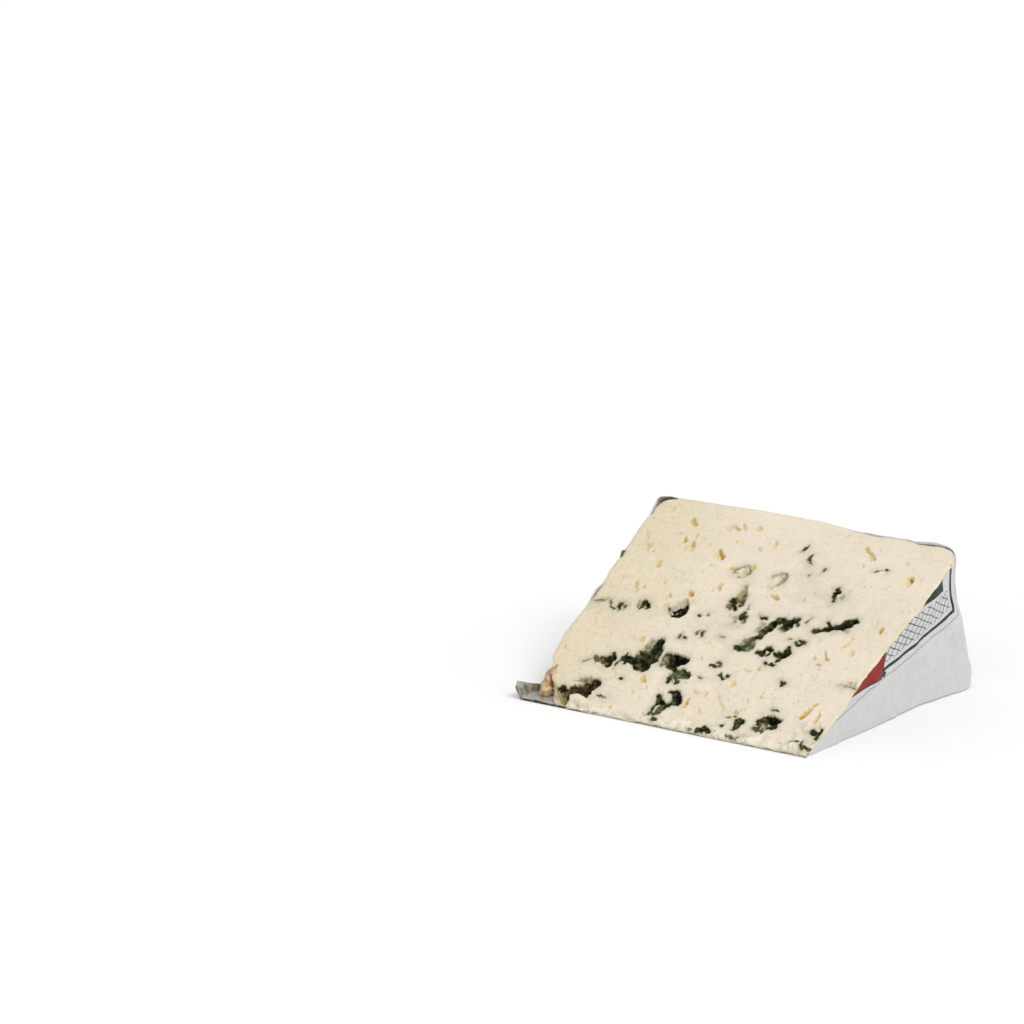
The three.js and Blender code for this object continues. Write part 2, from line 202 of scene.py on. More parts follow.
# Pockets of mould: across and up of the two ends, half-width at each end, depth, how pale the mould is
# and how brown, from 0 to 1
MOULD_STROKES = [
    (32.4, 34.4, 32.8, 30.4, 1.2, 1.4, 2.8, 0.0, 0.0),
    (30.2, 34.3, 30.3, 30.8, 0.7, 0.8, 1.0, 0.9, 0.1),
    (34.4, 31.2, 34.9, 26.4, 1.1, 1.0, 2.2, 0.25, 0.0),
    (30.8, 27.4, 32.4, 23.8, 2.6, 2.4, 2.8, 0.3, 0.15),
    (31.0, 22.8, 33.6, 22.6, 1.4, 1.0, 2.4, 0.1, 0.1),
    (24.4, 24.9, 28.2, 25.0, 0.9, 1.5, 2.2, 0.0, 0.1),
    (24.4, 25.4, 24.6, 27.2, 0.5, 0.15, 1.2, 0.0, 0.2),
    (23.4, 23.8, 23.6, 21.2, 0.35, 0.12, 1.0, 0.1, 0.2),
    (25.8, 24.2, 26.2, 22.6, 0.6, 0.25, 1.4, 0.0, 0.2),
    (17.6, 22.9, 19.6, 22.6, 1.0, 1.5, 1.8, 0.35, 0.6),
    (20.4, 24.4, 20.8, 20.9, 1.1, 0.8, 3.0, 0.0, 0.3),
    (20.2, 26.2, 21.0, 24.6, 0.12, 0.4, 1.4, 0.0, 0.4),
    (14.8, 23.4, 16.4, 21.6, 0.4, 0.5, 0.9, 0.3, 0.8),
    (12.0, 20.2, 13.8, 21.8, 0.15, 0.3, 0.4, 0.7, 0.5),
    (41.2, 28.5, 44.4, 28.4, 1.8, 1.6, 3.0, 0.0, 0.0),
    (37.9, 30.2, 40.8, 29.4, 0.6, 1.1, 2.4, 0.0, 0.0),
    (38.2, 29.4, 38.8, 26.4, 0.8, 1.2, 1.5, 0.75, 0.15),
    (41.0, 26.2, 43.4, 24.8, 1.3, 0.9, 2.4, 0.1, 0.1),
    (44.9, 23.0, 48.4, 22.8, 1.4, 1.5, 1.2, 0.6, 0.0),
    (46.6, 24.9, 49.6, 23.0, 0.3, 0.45, 1.6, 0.0, 0.0),
    (43.6, 21.6, 44.2, 18.7, 0.35, 0.45, 1.8, 0.0, 0.1),
    (45.4, 21.2, 47.4, 19.3, 0.8, 0.7, 1.8, 0.2, 0.0),
    (45.0, 12.6, 46.2, 9.4, 0.55, 0.6, 2.0, 0.0, 0.1),
    (45.6, 9.6, 46.0, 4.2, 0.3, 0.3, 1.4, 0.0, 0.1),
    (46.8, 10.8, 48.4, 9.0, 0.8, 1.0, 2.0, 0.2, 0.0),
    (48.5, 8.4, 47.6, 4.6, 1.0, 0.7, 1.8, 0.35, 0.0),
    (47.6, 15.0, 49.4, 15.2, 0.3, 0.7, 2.2, 0.0, 0.0),
    (50.0, 14.6, 51.6, 12.2, 0.9, 1.5, 2.8, 0.0, 0.0),
    (51.2, 11.0, 49.4, 9.6, 1.0, 0.8, 2.0, 0.2, 0.1),
    (49.0, 2.4, 49.5, 2.1, 0.8, 0.7, 1.6, 0.1, 0.1),
    (19.6, 11.2, 20.9, 12.2, 1.9, 1.8, 3.0, 0.1, 0.75),
    (15.8, 8.2, 19.4, 8.2, 1.8, 1.9, 3.0, 0.2, 0.8),
    (13.6, 6.6, 17.4, 6.4, 1.0, 0.9, 2.4, 0.4, 0.9),
    (16.0, 12.7, 18.4, 13.5, 0.7, 0.8, 1.3, 1.0, 0.2),
    (9.6, 7.4, 12.4, 7.6, 0.6, 0.7, 1.8, 0.0, 1.0),
    (11.2, 8.6, 11.6, 8.2, 0.7, 0.6, 2.0, 0.0, 0.8),
    (11.2, 5.4, 14.2, 1.6, 1.3, 1.4, 1.6, 1.2, 1.0),
    (14.2, 4.6, 15.8, 1.6, 1.0, 0.7, 1.6, 1.0, 1.0),
    (14.6, 5.6, 15.8, 4.6, 0.7, 0.7, 2.4, 0.2, 0.8),
    (24.6, 8.0, 27.0, 7.6, 0.25, 0.3, 0.4, 0.3, 0.1),
    (27.9, 16.7, 28.7, 16.3, 0.4, 0.35, 1.0, 0.0, 0.3),
    (42.6, 41.2, 42.9, 40.9, 0.35, 0.35, 1.0, 0.1, 0.1),
    (44.5, 41.7, 44.9, 39.7, 0.2, 0.25, 0.7, 0.2, 0.2),
    (39.4, 38.1, 39.8, 37.8, 0.45, 0.45, 1.2, 0.0, 0.2),
    (50.6, 41.4, 52.0, 41.2, 0.1, 0.2, 0.3, 0.5, 0.3),
    (27.7, 48.9, 27.9, 48.5, 0.3, 0.25, 0.6, 0.0, 0.5),
    (31.9, 53.8, 33.5, 50.4, 0.1, 0.25, 0.8, 0.7, 1.0),
    (18.2, 49.8, 18.7, 46.9, 0.6, 0.4, 2.0, 0.0, 0.5),
    (18.8, 49.9, 20.6, 47.7, 0.45, 0.5, 1.8, 0.0, 0.5),
    (16.4, 49.4, 17.2, 47.2, 0.2, 0.25, 0.5, 0.7, 0.2),
    (1.5, 46.5, 3.0, 46.7, 0.1, 0.15, 0.4, 0.7, 0.6),
    (3.0, 46.8, 4.4, 47.2, 0.25, 0.2, 0.6, 0.4, 0.6),
    (4.4, 47.3, 5.2, 47.9, 0.15, 0.1, 0.4, 0.6, 0.4),
    (7.0, 48.0, 7.8, 46.0, 0.15, 0.25, 0.6, 0.5, 0.3),
    (7.8, 45.5, 9.9, 44.7, 0.15, 0.3, 0.7, 0.4, 0.4),
    (10.8, 47.4, 11.0, 45.2, 0.25, 0.3, 0.9, 0.2, 0.4),
    (11.5, 47.6, 11.7, 44.4, 0.3, 0.25, 0.9, 0.1, 0.4),
    (13.0, 46.6, 13.0, 45.0, 0.2, 0.2, 0.6, 0.4, 0.3),
    (53.3, 23.3, 54.2, 23.0, 0.25, 0.3, 0.6, 0.3, 0.4),
    (54.3, 29.1, 55.8, 28.8, 0.4, 0.5, 1.6, 0.0, 0.2),
    (56.2, 30.4, 57.3, 29.7, 0.35, 0.5, 1.4, 0.1, 0.2),
    (59.0, 25.9, 61.4, 24.8, 0.3, 0.45, 1.3, 0.1, 0.2),
    (61.8, 26.5, 62.1, 26.2, 0.3, 0.3, 1.0, 0.1, 0.2),
    (58.6, 38.7, 60.0, 38.4, 0.9, 0.9, 1.8, 0.0, 0.1),
    (61.0, 40.6, 62.0, 39.8, 2.0, 2.2, 0.8, 0.65, 0.0),
    (61.8, 43.0, 63.6, 44.2, 0.7, 0.8, 1.4, 0.2, 0.1),
    (61.4, 49.6, 61.3, 46.2, 0.4, 0.4, 1.0, 0.7, 0.0),
    (63.4, 46.2, 64.8, 49.4, 1.3, 1.5, 2.4, 0.2, 0.0),
    (64.6, 50.0, 65.4, 51.2, 1.3, 0.9, 2.8, 0.0, 0.0),
    (66.0, 52.4, 67.4, 53.2, 0.8, 0.7, 2.0, 0.1, 0.1),
    (68.4, 50.6, 70.5, 50.4, 1.4, 1.2, 2.2, 0.15, 0.0),
    (68.2, 48.8, 69.8, 48.8, 0.6, 0.6, 1.2, 0.8, 0.1),
    (69.8, 52.2, 71.6, 53.5, 1.3, 0.9, 2.8, 0.0, 0.0),
    (72.2, 53.2, 73.2, 51.2, 0.35, 0.3, 1.4, 0.0, 0.1),
    (60.0, 52.0, 61.2, 52.3, 0.4, 0.6, 1.6, 0.0, 0.2),
    (58.5, 52.8, 59.9, 51.2, 0.12, 0.2, 0.6, 0.2, 0.3),
    (66.2, 37.6, 68.2, 37.7, 0.6, 0.8, 1.8, 0.1, 0.5),
    (68.3, 39.0, 69.3, 40.4, 0.4, 0.4, 1.6, 0.0, 0.5),
    (70.2, 40.0, 70.3, 37.4, 0.4, 0.5, 1.6, 0.0, 0.4),
    (73.0, 38.6, 75.2, 38.4, 0.7, 1.3, 2.6, 0.0, 0.1),
    (75.1, 41.9, 75.6, 39.8, 0.5, 0.9, 2.4, 0.0, 0.1),
    (74.9, 36.1, 74.5, 35.6, 0.45, 0.4, 1.2, 0.1, 0.2),
    (71.3, 34.2, 71.9, 34.0, 0.3, 0.3, 1.0, 0.1, 0.5),
    (73.2, 34.3, 74.2, 34.1, 0.55, 0.45, 1.4, 0.0, 0.4),
    (76.4, 44.5, 77.9, 43.5, 0.4, 0.4, 1.6, 0.0, 0.4),
    (77.2, 45.8, 78.7, 44.7, 0.4, 0.6, 2.0, 0.0, 0.3),
    (73.2, 45.5, 74.2, 45.4, 0.2, 0.2, 0.4, 0.4, 0.5),
    (80.5, 28.1, 81.9, 27.1, 0.3, 0.6, 1.6, 0.0, 0.4),
    (88.3, 37.9, 88.6, 37.7, 0.25, 0.2, 0.4, 0.5, 0.4),
    (99.8, 31.0, 101.4, 30.8, 0.1, 0.15, 0.4, 0.5, 0.8),
    (102.2, 31.0, 105.0, 30.8, 0.15, 0.2, 0.5, 0.4, 0.9),
    (102.4, 32.8, 102.7, 31.4, 0.1, 0.1, 0.4, 0.6, 0.8),
    (103.9, 33.0, 104.1, 31.6, 0.1, 0.1, 0.4, 0.6, 0.8),
    (83.6, 16.6, 84.4, 16.3, 0.2, 0.25, 0.5, 0.5, 0.3),
    (84.8, 16.4, 85.9, 16.0, 0.3, 0.3, 0.7, 0.1, 0.5),
    (84.8, 12.0, 87.8, 12.0, 1.4, 1.2, 3.0, 0.0, 0.0),
    (83.6, 12.4, 82.2, 10.6, 0.5, 0.7, 1.6, 0.2, 0.1),
    (82.6, 10.0, 84.0, 8.4, 0.6, 0.7, 1.8, 0.15, 0.1),
    (82.4, 7.4, 85.6, 6.9, 0.6, 0.7, 1.4, 0.45, 0.1),
    (86.2, 8.6, 88.0, 9.8, 0.8, 0.8, 1.8, 0.3, 0.0),
    (84.6, 9.6, 85.4, 8.2, 0.8, 0.8, 1.2, 1.0, 0.0),
    (75.4, 9.4, 77.8, 9.2, 0.5, 0.5, 1.6, 0.0, 0.2),
    (76.0, 8.8, 76.5, 6.4, 0.8, 0.8, 1.8, 0.2, 0.2),
    (76.1, 5.6, 76.4, 5.0, 0.4, 0.3, 1.0, 0.1, 0.3),
    (71.5, 9.8, 72.0, 9.7, 0.35, 0.3, 1.0, 0.1, 0.5),
    (73.5, 10.4, 73.9, 10.2, 0.25, 0.25, 0.8, 0.1, 0.5),
    (71.3, 6.0, 71.7, 5.6, 0.4, 0.3, 0.9, 0.1, 0.5),
    (65.4, 1.8, 66.8, 2.4, 0.9, 1.2, 1.8, 0.15, 0.3),
    (66.5, 4.1, 69.0, 2.0, 0.4, 0.5, 1.8, 0.0, 0.1),
    (62.5, 1.5, 62.8, 1.3, 0.3, 0.3, 0.6, 0.3, 0.7),
    (75.8, 1.9, 78.8, 1.4, 0.25, 0.55, 0.8, 0.5, 0.2),
    (79.3, 2.7, 79.6, 2.3, 0.35, 0.3, 0.8, 0.2, 0.3),
    (101.8, 10.4, 103.8, 10.2, 0.6, 0.9, 2.0, 0.0, 0.4),
    (103.8, 11.6, 104.3, 8.2, 0.35, 0.45, 1.6, 0.0, 0.4),
    (97.9, 4.6, 99.6, 5.0, 0.45, 0.3, 1.4, 0.1, 0.5),
    (100.9, 5.6, 102.3, 2.8, 0.25, 0.35, 1.2, 0.1, 0.8),
    (102.2, 3.6, 104.8, 2.7, 0.5, 0.6, 1.5, 0.2, 0.9),
    (47.8, 64.2, 48.3, 60.2, 0.3, 1.4, 1.1, 0.9, 0.6),
    (48.4, 58.8, 48.6, 57.0, 1.4, 0.9, 1.6, 0.8, 0.6),
    (49.7, 58.4, 50.0, 55.8, 0.3, 0.4, 1.6, 0.0, 0.3),
    (46.2, 57.2, 49.0, 53.7, 0.8, 0.45, 3.0, 0.0, 0.3),
    (46.2, 54.8, 47.6, 53.8, 0.7, 0.6, 1.8, 0.45, 0.4),
    (53.1, 53.0, 53.4, 50.8, 0.5, 0.7, 2.4, 0.0, 0.2),
    (51.4, 50.3, 52.2, 47.9, 0.35, 0.3, 0.8, 0.8, 0.1),
    (54.6, 51.2, 55.0, 48.9, 0.4, 0.4, 1.2, 0.45, 0.0),
    (52.6, 56.8, 53.5, 54.6, 0.1, 0.15, 0.5, 0.4, 0.8),
    (39.3, 48.7, 39.9, 48.4, 0.4, 0.35, 0.9, 0.1, 0.5),
    (41.9, 49.6, 42.1, 49.2, 0.2, 0.2, 0.5, 0.4, 0.3),
    (58.8, 85.1, 57.7, 82.9, 0.2, 0.35, 0.8, 0.2, 0.7),
    (61.6, 81.8, 61.3, 80.2, 0.35, 0.4, 1.0, 0.3, 0.1),
    (61.4, 80.1, 63.5, 78.1, 0.4, 0.12, 1.0, 0.1, 0.1),
    (68.8, 76.8, 69.2, 75.7, 0.3, 0.35, 0.7, 0.4, 0.2),
    (65.3, 73.0, 65.6, 72.6, 0.3, 0.3, 0.5, 0.4, 0.4),
    (77.3, 69.0, 78.6, 67.9, 0.35, 0.5, 1.8, 0.0, 0.1),
    (77.8, 67.4, 79.0, 63.8, 0.5, 0.35, 1.6, 0.1, 0.1),
    (81.0, 67.8, 80.8, 65.8, 0.12, 0.15, 0.3, 0.5, 0.2),
    (88.2, 80.9, 88.4, 80.6, 0.35, 0.3, 0.9, 0.0, 0.4),
    (79.5, 50.9, 80.4, 51.1, 0.7, 0.8, 2.0, 0.1, 0.1),
    (81.6, 51.4, 83.4, 52.3, 0.5, 0.8, 2.2, 0.0, 0.1),
    (81.7, 55.3, 83.8, 53.8, 0.25, 0.6, 1.8, 0.0, 0.1),
    (85.0, 53.4, 88.4, 55.2, 1.0, 1.4, 2.6, 0.05, 0.0),
    (88.4, 57.0, 90.0, 57.4, 1.0, 0.9, 3.0, 0.0, 0.0),
    (88.8, 53.3, 90.2, 52.7, 0.3, 0.3, 0.8, 0.8, 0.1),
    (75.5, 55.5, 75.2, 53.4, 0.12, 0.25, 0.6, 0.3, 0.5),
]
# Thin arcs round an island of curd, in the mould's colours and widest on one side: partly thin mould and
# partly painted shade on the shaded side of a shallow gas hole. Across, up, radius, half-width, depth,
# paleness, brownness and the side in degrees on which the arc is widest
MOULD_AND_SHADE_RINGS = [
    (56.0, 69.3, 2.6, 0.36, 1.2, 0.9, 1.0, 15),
    (43.2, 69.8, 2.4, 0.32, 1.2, 0.9, 1.0, 150),
    (43.4, 69.6, 2.3, 0.3, 1.2, 0.7, 1.0, -10),
    (55.6, 69.9, 1.5, 0.2, 0.6, 1.2, 0.5, 120),
    (43.4, 41.0, 1.4, 0.26, 0.8, 0.3, 0.2, 130),
    (38.5, 38.6, 1.2, 0.3, 0.9, 0.3, 0.3, 200),
    (56.0, 29.8, 1.2, 0.26, 1.0, 0.2, 0.3, 40),
    (61.1, 25.9, 1.1, 0.22, 0.9, 0.2, 0.3, -60),
    (86.4, 79.5, 0.85, 0.3, 0.9, 0.2, 0.4, 120),
    (77.5, 68.6, 0.8, 0.22, 0.9, 0.1, 0.3, 60),
    (70.0, 38.8, 1.2, 0.26, 1.2, 0.1, 0.5, 30),
    (77.4, 44.7, 1.0, 0.3, 1.2, 0.1, 0.5, -30),
]
# Flakes of curd left standing in the pockets: across and up of the two ends and half-width at each
FLAKE_STROKES = [
    (45.0, 20.9, 46.4, 18.8, 0.3, 0.3),
    (48.0, 13.4, 48.6, 11.4, 1.0, 0.7),
    (46.4, 8.4, 46.6, 5.6, 0.25, 0.3),
    (30.6, 34.2, 31.1, 31.2, 0.22, 0.25),
    (34.6, 33.8, 35.3, 31.9, 0.4, 0.2),
    (67.6, 50.6, 66.4, 49.0, 0.5, 0.3),
    (71.6, 51.8, 72.2, 50.6, 0.3, 0.4),
    (43.1, 23.4, 43.5, 22.4, 0.4, 0.3),
    (69.5, 38.8, 69.4, 38.0, 0.3, 0.3),
    (77.2, 44.8, 77.5, 44.5, 0.3, 0.3),
    (84.6, 9.8, 84.2, 8.2, 0.22, 0.2),
    (47.9, 54.6, 48.7, 52.6, 0.15, 0.5),
    (56.2, 29.9, 56.4, 29.7, 0.4, 0.4),
    (62.1, 48.4, 61.9, 46.4, 0.2, 0.2),
    (27.6, 28.4, 28.6, 27.6, 0.3, 0.3),
    (22.2, 22.4, 22.8, 20.6, 0.3, 0.25),
]
# Clean gas holes: across and up of the two ends, half-width at each, depth, and how deep their ochre is
EYE_STROKES = [
    (15.8, 87.3, 16.8, 86.2, 1.1, 0.8, 0.9, 0.6),
    (28.2, 87.1, 30.2, 87.8, 0.4, 0.8, 0.8, 0.3),
    (30.4, 88.0, 32.6, 86.9, 0.4, 0.35, 1.3, 0.7),
    (32.6, 89.6, 34.2, 87.5, 0.5, 0.25, 0.9, 0.4),
    (38.5, 89.2, 39.2, 88.8, 0.9, 0.8, 0.8, 0.3),
    (46.9, 84.2, 47.4, 83.4, 0.9, 0.8, 0.8, 0.3),
    (47.8, 83.2, 48.1, 82.6, 0.5, 0.35, 1.1, 0.6),
    (16.6, 79.8, 17.5, 78.0, 0.4, 0.4, 1.1, 0.7),
    (19.7, 82.0, 20.6, 80.7, 0.5, 0.4, 0.6, 0.3),
    (20.4, 79.0, 21.1, 76.8, 0.45, 0.5, 1.1, 0.7),
    (21.0, 76.4, 21.7, 74.6, 0.5, 0.4, 0.7, 0.3),
    (18.6, 75.8, 19.6, 74.0, 0.5, 0.4, 0.5, 0.1),
    (26.6, 79.0, 26.4, 77.6, 0.35, 0.3, 0.6, 0.2),
    (30.9, 76.8, 32.2, 75.6, 0.8, 0.9, 1.2, 0.8),
    (33.0, 74.8, 33.7, 73.4, 0.7, 0.5, 1.5, 1.0),
    (30.3, 74.9, 31.0, 73.8, 1.1, 0.9, 0.7, 0.1),
    (36.6, 82.6, 37.0, 81.6, 0.2, 0.2, 0.5, 0.3),
    (34.4, 82.3, 34.8, 81.6, 0.25, 0.2, 0.4, 0.2),
    (2.6, 79.4, 4.4, 75.8, 0.3, 0.6, 0.5, 0.1),
    (6.4, 74.2, 7.2, 72.6, 0.9, 0.8, 0.9, 0.3),
    (13.6, 67.0, 14.6, 65.6, 0.7, 0.5, 0.9, 0.5),
    (14.2, 68.0, 14.4, 66.8, 0.25, 0.3, 0.9, 0.6),
    (39.2, 62.4, 39.6, 61.2, 0.9, 0.8, 1.0, 0.5),
    (31.2, 57.1, 32.1, 56.0, 0.6, 0.5, 1.3, 0.9),
    (10.8, 57.0, 12.0, 55.2, 0.7, 0.5, 1.0, 0.4),
    (12.8, 54.0, 13.1, 53.2, 0.35, 0.35, 1.0, 0.5),
    (14.2, 56.4, 14.8, 55.0, 0.3, 0.35, 0.9, 0.5),
    (24.6, 54.8, 25.6, 53.6, 0.6, 0.4, 0.8, 0.4),
    (23.9, 53.8, 24.2, 52.8, 0.3, 0.3, 0.5, 0.2),
    (24.7, 64.0, 25.0, 63.0, 0.25, 0.25, 0.4, 0.3),
    (21.6, 57.4, 21.9, 57.0, 0.25, 0.25, 0.5, 0.4),
    (19.4, 60.6, 20.8, 59.2, 0.8, 0.6, 0.4, 0.0),
    (38.3, 70.5, 40.0, 69.9, 0.7, 0.8, 0.8, 0.4),
    (44.5, 73.1, 45.8, 72.0, 0.7, 0.6, 0.8, 0.5),
    (43.6, 70.2, 44.6, 68.6, 0.8, 0.6, 0.9, 0.35),
    (5.4, 91.6, 6.4, 90.4, 0.6, 0.6, 0.5, 0.1),
    (54.8, 65.6, 56.4, 64.8, 0.7, 0.7, 0.8, 0.15),
    (57.5, 62.4, 60.2, 60.9, 0.4, 0.9, 1.2, 0.6),
    (69.3, 62.9, 69.5, 61.8, 0.4, 0.45, 0.9, 0.4),
    (71.1, 65.5, 71.4, 65.1, 0.3, 0.25, 0.4, 0.2),
    (77.2, 89.0, 79.6, 87.0, 0.4, 0.5, 1.0, 0.6),
    (80.2, 86.6, 81.8, 84.6, 0.7, 0.8, 1.1, 0.4),
    (92.6, 85.4, 93.9, 84.9, 0.6, 0.5, 0.7, 0.2),
    (97.8, 79.6, 98.8, 77.6, 0.45, 0.55, 1.8, 1.0),
    (97.2, 77.6, 98.2, 76.4, 0.7, 0.6, 0.8, 0.2),
    (84.9, 72.6, 85.2, 72.0, 0.3, 0.25, 0.7, 0.4),
    (86.7, 73.0, 86.9, 72.2, 0.25, 0.2, 0.5, 0.3),
    (92.2, 74.2, 92.3, 73.2, 0.2, 0.2, 0.5, 0.3),
    (102.1, 65.2, 102.5, 64.8, 0.4, 0.3, 0.5, 0.2),
    (104.3, 65.7, 104.6, 65.0, 0.3, 0.3, 0.4, 0.2),
    (96.6, 60.0, 97.0, 57.6, 0.35, 0.3, 0.6, 0.2),
    (100.0, 56.6, 100.8, 55.0, 0.55, 0.5, 1.2, 0.8),
    (97.9, 56.6, 98.3, 56.2, 0.25, 0.2, 0.5, 0.4),
    (92.3, 50.4, 91.9, 47.6, 0.6, 0.7, 0.8, 0.2),
    (95.6, 44.8, 96.3, 43.9, 1.0, 0.8, 0.8, 0.3),
    (85.1, 40.8, 85.7, 39.8, 0.4, 0.4, 0.7, 0.5),
    (86.9, 43.2, 88.2, 41.4, 0.3, 0.4, 1.0, 0.6),
    (88.3, 41.3, 89.8, 40.0, 0.35, 0.4, 1.4, 0.9),
    (65.3, 23.2, 66.0, 22.6, 0.8, 0.7, 0.7, 0.3),
    (66.2, 30.2, 68.0, 29.8, 0.6, 0.5, 0.5, 0.2),
    (70.5, 31.6, 70.8, 31.1, 0.45, 0.35, 0.9, 0.7),
    (53.5, 32.6, 53.8, 32.2, 0.4, 0.4, 0.5, 0.2),
    (35.0, 18.4, 36.0, 17.2, 0.9, 0.8, 0.9, 0.5),
    (36.4, 17.6, 37.0, 16.8, 0.4, 0.35, 1.1, 0.8),
    (38.2, 15.2, 38.6, 14.2, 0.3, 0.25, 0.6, 0.4),
    (34.8, 12.8, 35.4, 12.2, 0.5, 0.5, 0.5, 0.2),
    (25.2, 18.6, 25.7, 18.2, 0.4, 0.3, 0.4, 0.3),
    (26.0, 34.4, 26.7, 33.4, 0.8, 0.6, 0.7, 0.4),
    (6.2, 38.4, 6.6, 36.6, 0.4, 0.4, 0.3, 0.1),
    (2.0, 25.2, 2.4, 24.4, 0.5, 0.4, 0.7, 0.5),
    (31.2, 4.8, 31.6, 4.0, 0.4, 0.4, 0.8, 0.5),
    (95.8, 21.0, 94.8, 18.0, 0.6, 1.1, 1.2, 0.5),
    (94.8, 17.2, 95.2, 15.0, 1.2, 0.8, 1.6, 0.9),
    (95.6, 19.6, 94.4, 16.0, 0.9, 0.9, 1.2, 0.9),
    (99.4, 18.2, 100.3, 14.4, 0.3, 0.5, 1.2, 0.6),
    (102.0, 14.0, 102.8, 12.4, 0.3, 0.3, 0.7, 0.4),
    (54.6, 17.0, 57.2, 17.3, 0.5, 0.4, 0.6, 0.4),
    (58.5, 17.8, 58.9, 16.6, 0.4, 0.4, 0.6, 0.5),
    (55.0, 14.0, 55.4, 10.8, 0.35, 0.6, 1.2, 0.8),
    (56.0, 8.2, 56.2, 7.6, 0.4, 0.4, 0.5, 0.2),
    (65.4, 14.6, 67.8, 12.4, 0.6, 0.8, 0.6, 0.2),
    (72.8, 12.6, 74.0, 11.8, 0.7, 0.6, 0.8, 0.4),
    (74.2, 18.0, 74.5, 16.8, 0.4, 0.4, 0.6, 0.4),
    (77.4, 21.6, 78.1, 20.2, 0.3, 0.35, 0.6, 0.3),
    (81.7, 20.9, 81.4, 20.0, 0.3, 0.3, 0.5, 0.4),
    (63.8, 17.8, 64.4, 16.8, 0.4, 0.35, 0.6, 0.4),
    (60.8, 10.8, 61.1, 8.8, 0.4, 0.4, 0.6, 0.3),
    (75.2, 14.0, 75.5, 13.6, 0.3, 0.3, 0.5, 0.3),
    (90.0, 32.8, 90.1, 31.6, 0.25, 0.25, 0.5, 0.3),
    (48.6, 38.2, 49.4, 37.6, 0.4, 0.4, 0.4, 0.2),
    (44.6, 3.4, 45.6, 3.0, 0.5, 0.4, 0.6, 0.3),
]
# Lumps that stand up from the cut: across and up of the two ends, half-width at each, and height
RAISED_STROKES = [
    (18.4, 4.4, 22.4, 3.0, 1.9, 1.7, 1.7),
    (22.4, 3.2, 27.0, 1.4, 1.6, 0.8, 0.9),
    (99.0, 3.0, 100.6, 2.2, 1.1, 1.2, 1.2),
    (98.2, 13.4, 99.0, 11.0, 0.6, 0.8, 0.8),
    (102.0, 7.2, 103.0, 6.0, 0.9, 0.8, 0.9),
    (96.4, 8.6, 98.6, 7.6, 1.0, 0.9, 0.7),
    (9.6, 9.6, 8.4, 9.0, 0.8, 0.6, 0.8),
    (7.0, 43.4, 11.0, 42.8, 1.0, 1.0, 0.25),
    (54.0, 32.0, 55.0, 31.0, 0.5, 0.5, 0.4),
    (53.4, 13.0, 54.2, 12.0, 0.4, 0.4, 0.5),
]
# How far inside a mark a place is said to lie that is far outside all of them
OUTSIDE = -9.0
# Where mould has greyed the curd: across, up, reach and strength
STAINS = [
    (70, 66, 11, 0.5), (64, 77, 6, 0.4), (79, 66, 5, 0.5), (82, 49, 4, 0.5), (80, 58, 5, 0.35),
    (53, 43, 6, 0.7), (92, 61, 9, 0.35), (45, 46, 4, 0.35), (12, 47, 5, 0.35), (3.5, 44.5, 2.6, 0.8),
    (27, 8, 3, 0.9), (26, 21, 5, 0.3), (40, 43, 4, 0.25), (72, 42, 6, 0.3), (92.6, 66.6, 1.1, 1.0),
    (30.4, 48.6, 3.2, 1.0), (51, 46, 4, 0.4), (51, 57, 3, 0.3), (47, 65, 2, 0.5), (104, 8, 4, 0.3),
    (24, 46, 2, 0.4),
]


def to_line(u, v, u0, v0, u1, v1):
    """The share of a line at which each place lies beside it, and the distance from there."""
    du, dv = u1 - u0, v1 - v0
    share = np.clip(((u - u0) * du + (v - v0) * dv) / (du * du + dv * dv), 0, 1)
    return share, np.hypot(u - u0 - share * du, v - v0 - share * dv)


def strongest(marks):
    """The greatest of the marks' reaches at each place, and the means of their other values, each
    weighted by the exponential of three times its reach."""
    best, weight, means = OUTSIDE, 1e-12, 0.0
    for reach, values in marks:
        pull = np.exp(3 * np.maximum(reach, -6))
        best = np.maximum(best, reach)
        weight = weight + pull
        means = means + pull * np.reshape(values, (len(values),) + (1,) * reach.ndim)
    return best, means / weight


def reach_inside(u, v, strokes):
    """How far each place lies inside the nearest stroke, less than 0 outside, and its other values. The
    reach into a stroke is its half-width there less the distance to its line."""
    marks = []
    for u0, v0, u1, v1, w0, w1, *values in strokes:
        share, away = to_line(u, v, u0, v0, u1, v1)
        marks.append((w0 + (w1 - w0) * share - away, values))
    return strongest(marks)


def reach_into_rings(u, v, rings):
    """The same for rings: the half-width less the distance to an uneven circle, whose radius swings
    three times round it. The half-width is widest on the ring's wide side, and the far side is open."""
    marks = []
    for u0, v0, radius, half, *values, side in rings:
        angle = np.arctan2(v - v0, u - u0) - math.radians(side)
        uneven = radius * (1 + 0.16 * np.sin(3 * angle + u0))
        reach = half * (0.1 + 1.2 * np.cos(angle)) - np.abs(np.hypot(u - u0, v - v0) - uneven)
        marks.append((reach - 1.5 * np.clip(-np.cos(angle), 0, 1), values))
    return strongest(marks)


# The wire dragged curd along this direction, turned from straight up the face
DRAG_TURN = math.radians(20)
# How ragged each outline is: by coarse noise, by fine noise and by teeth along the drag, and a seed
MOULD_RAGGED = (0.35, 0.3, 0.35, 11)
FLAKE_RAGGED = (0.15, 0.1, 0.4, 81)
EYE_RAGGED = (0.45, 0.35, 0.1, 41)
LUMP_RAGGED = (0.5, 0.35, 0.3, 61)


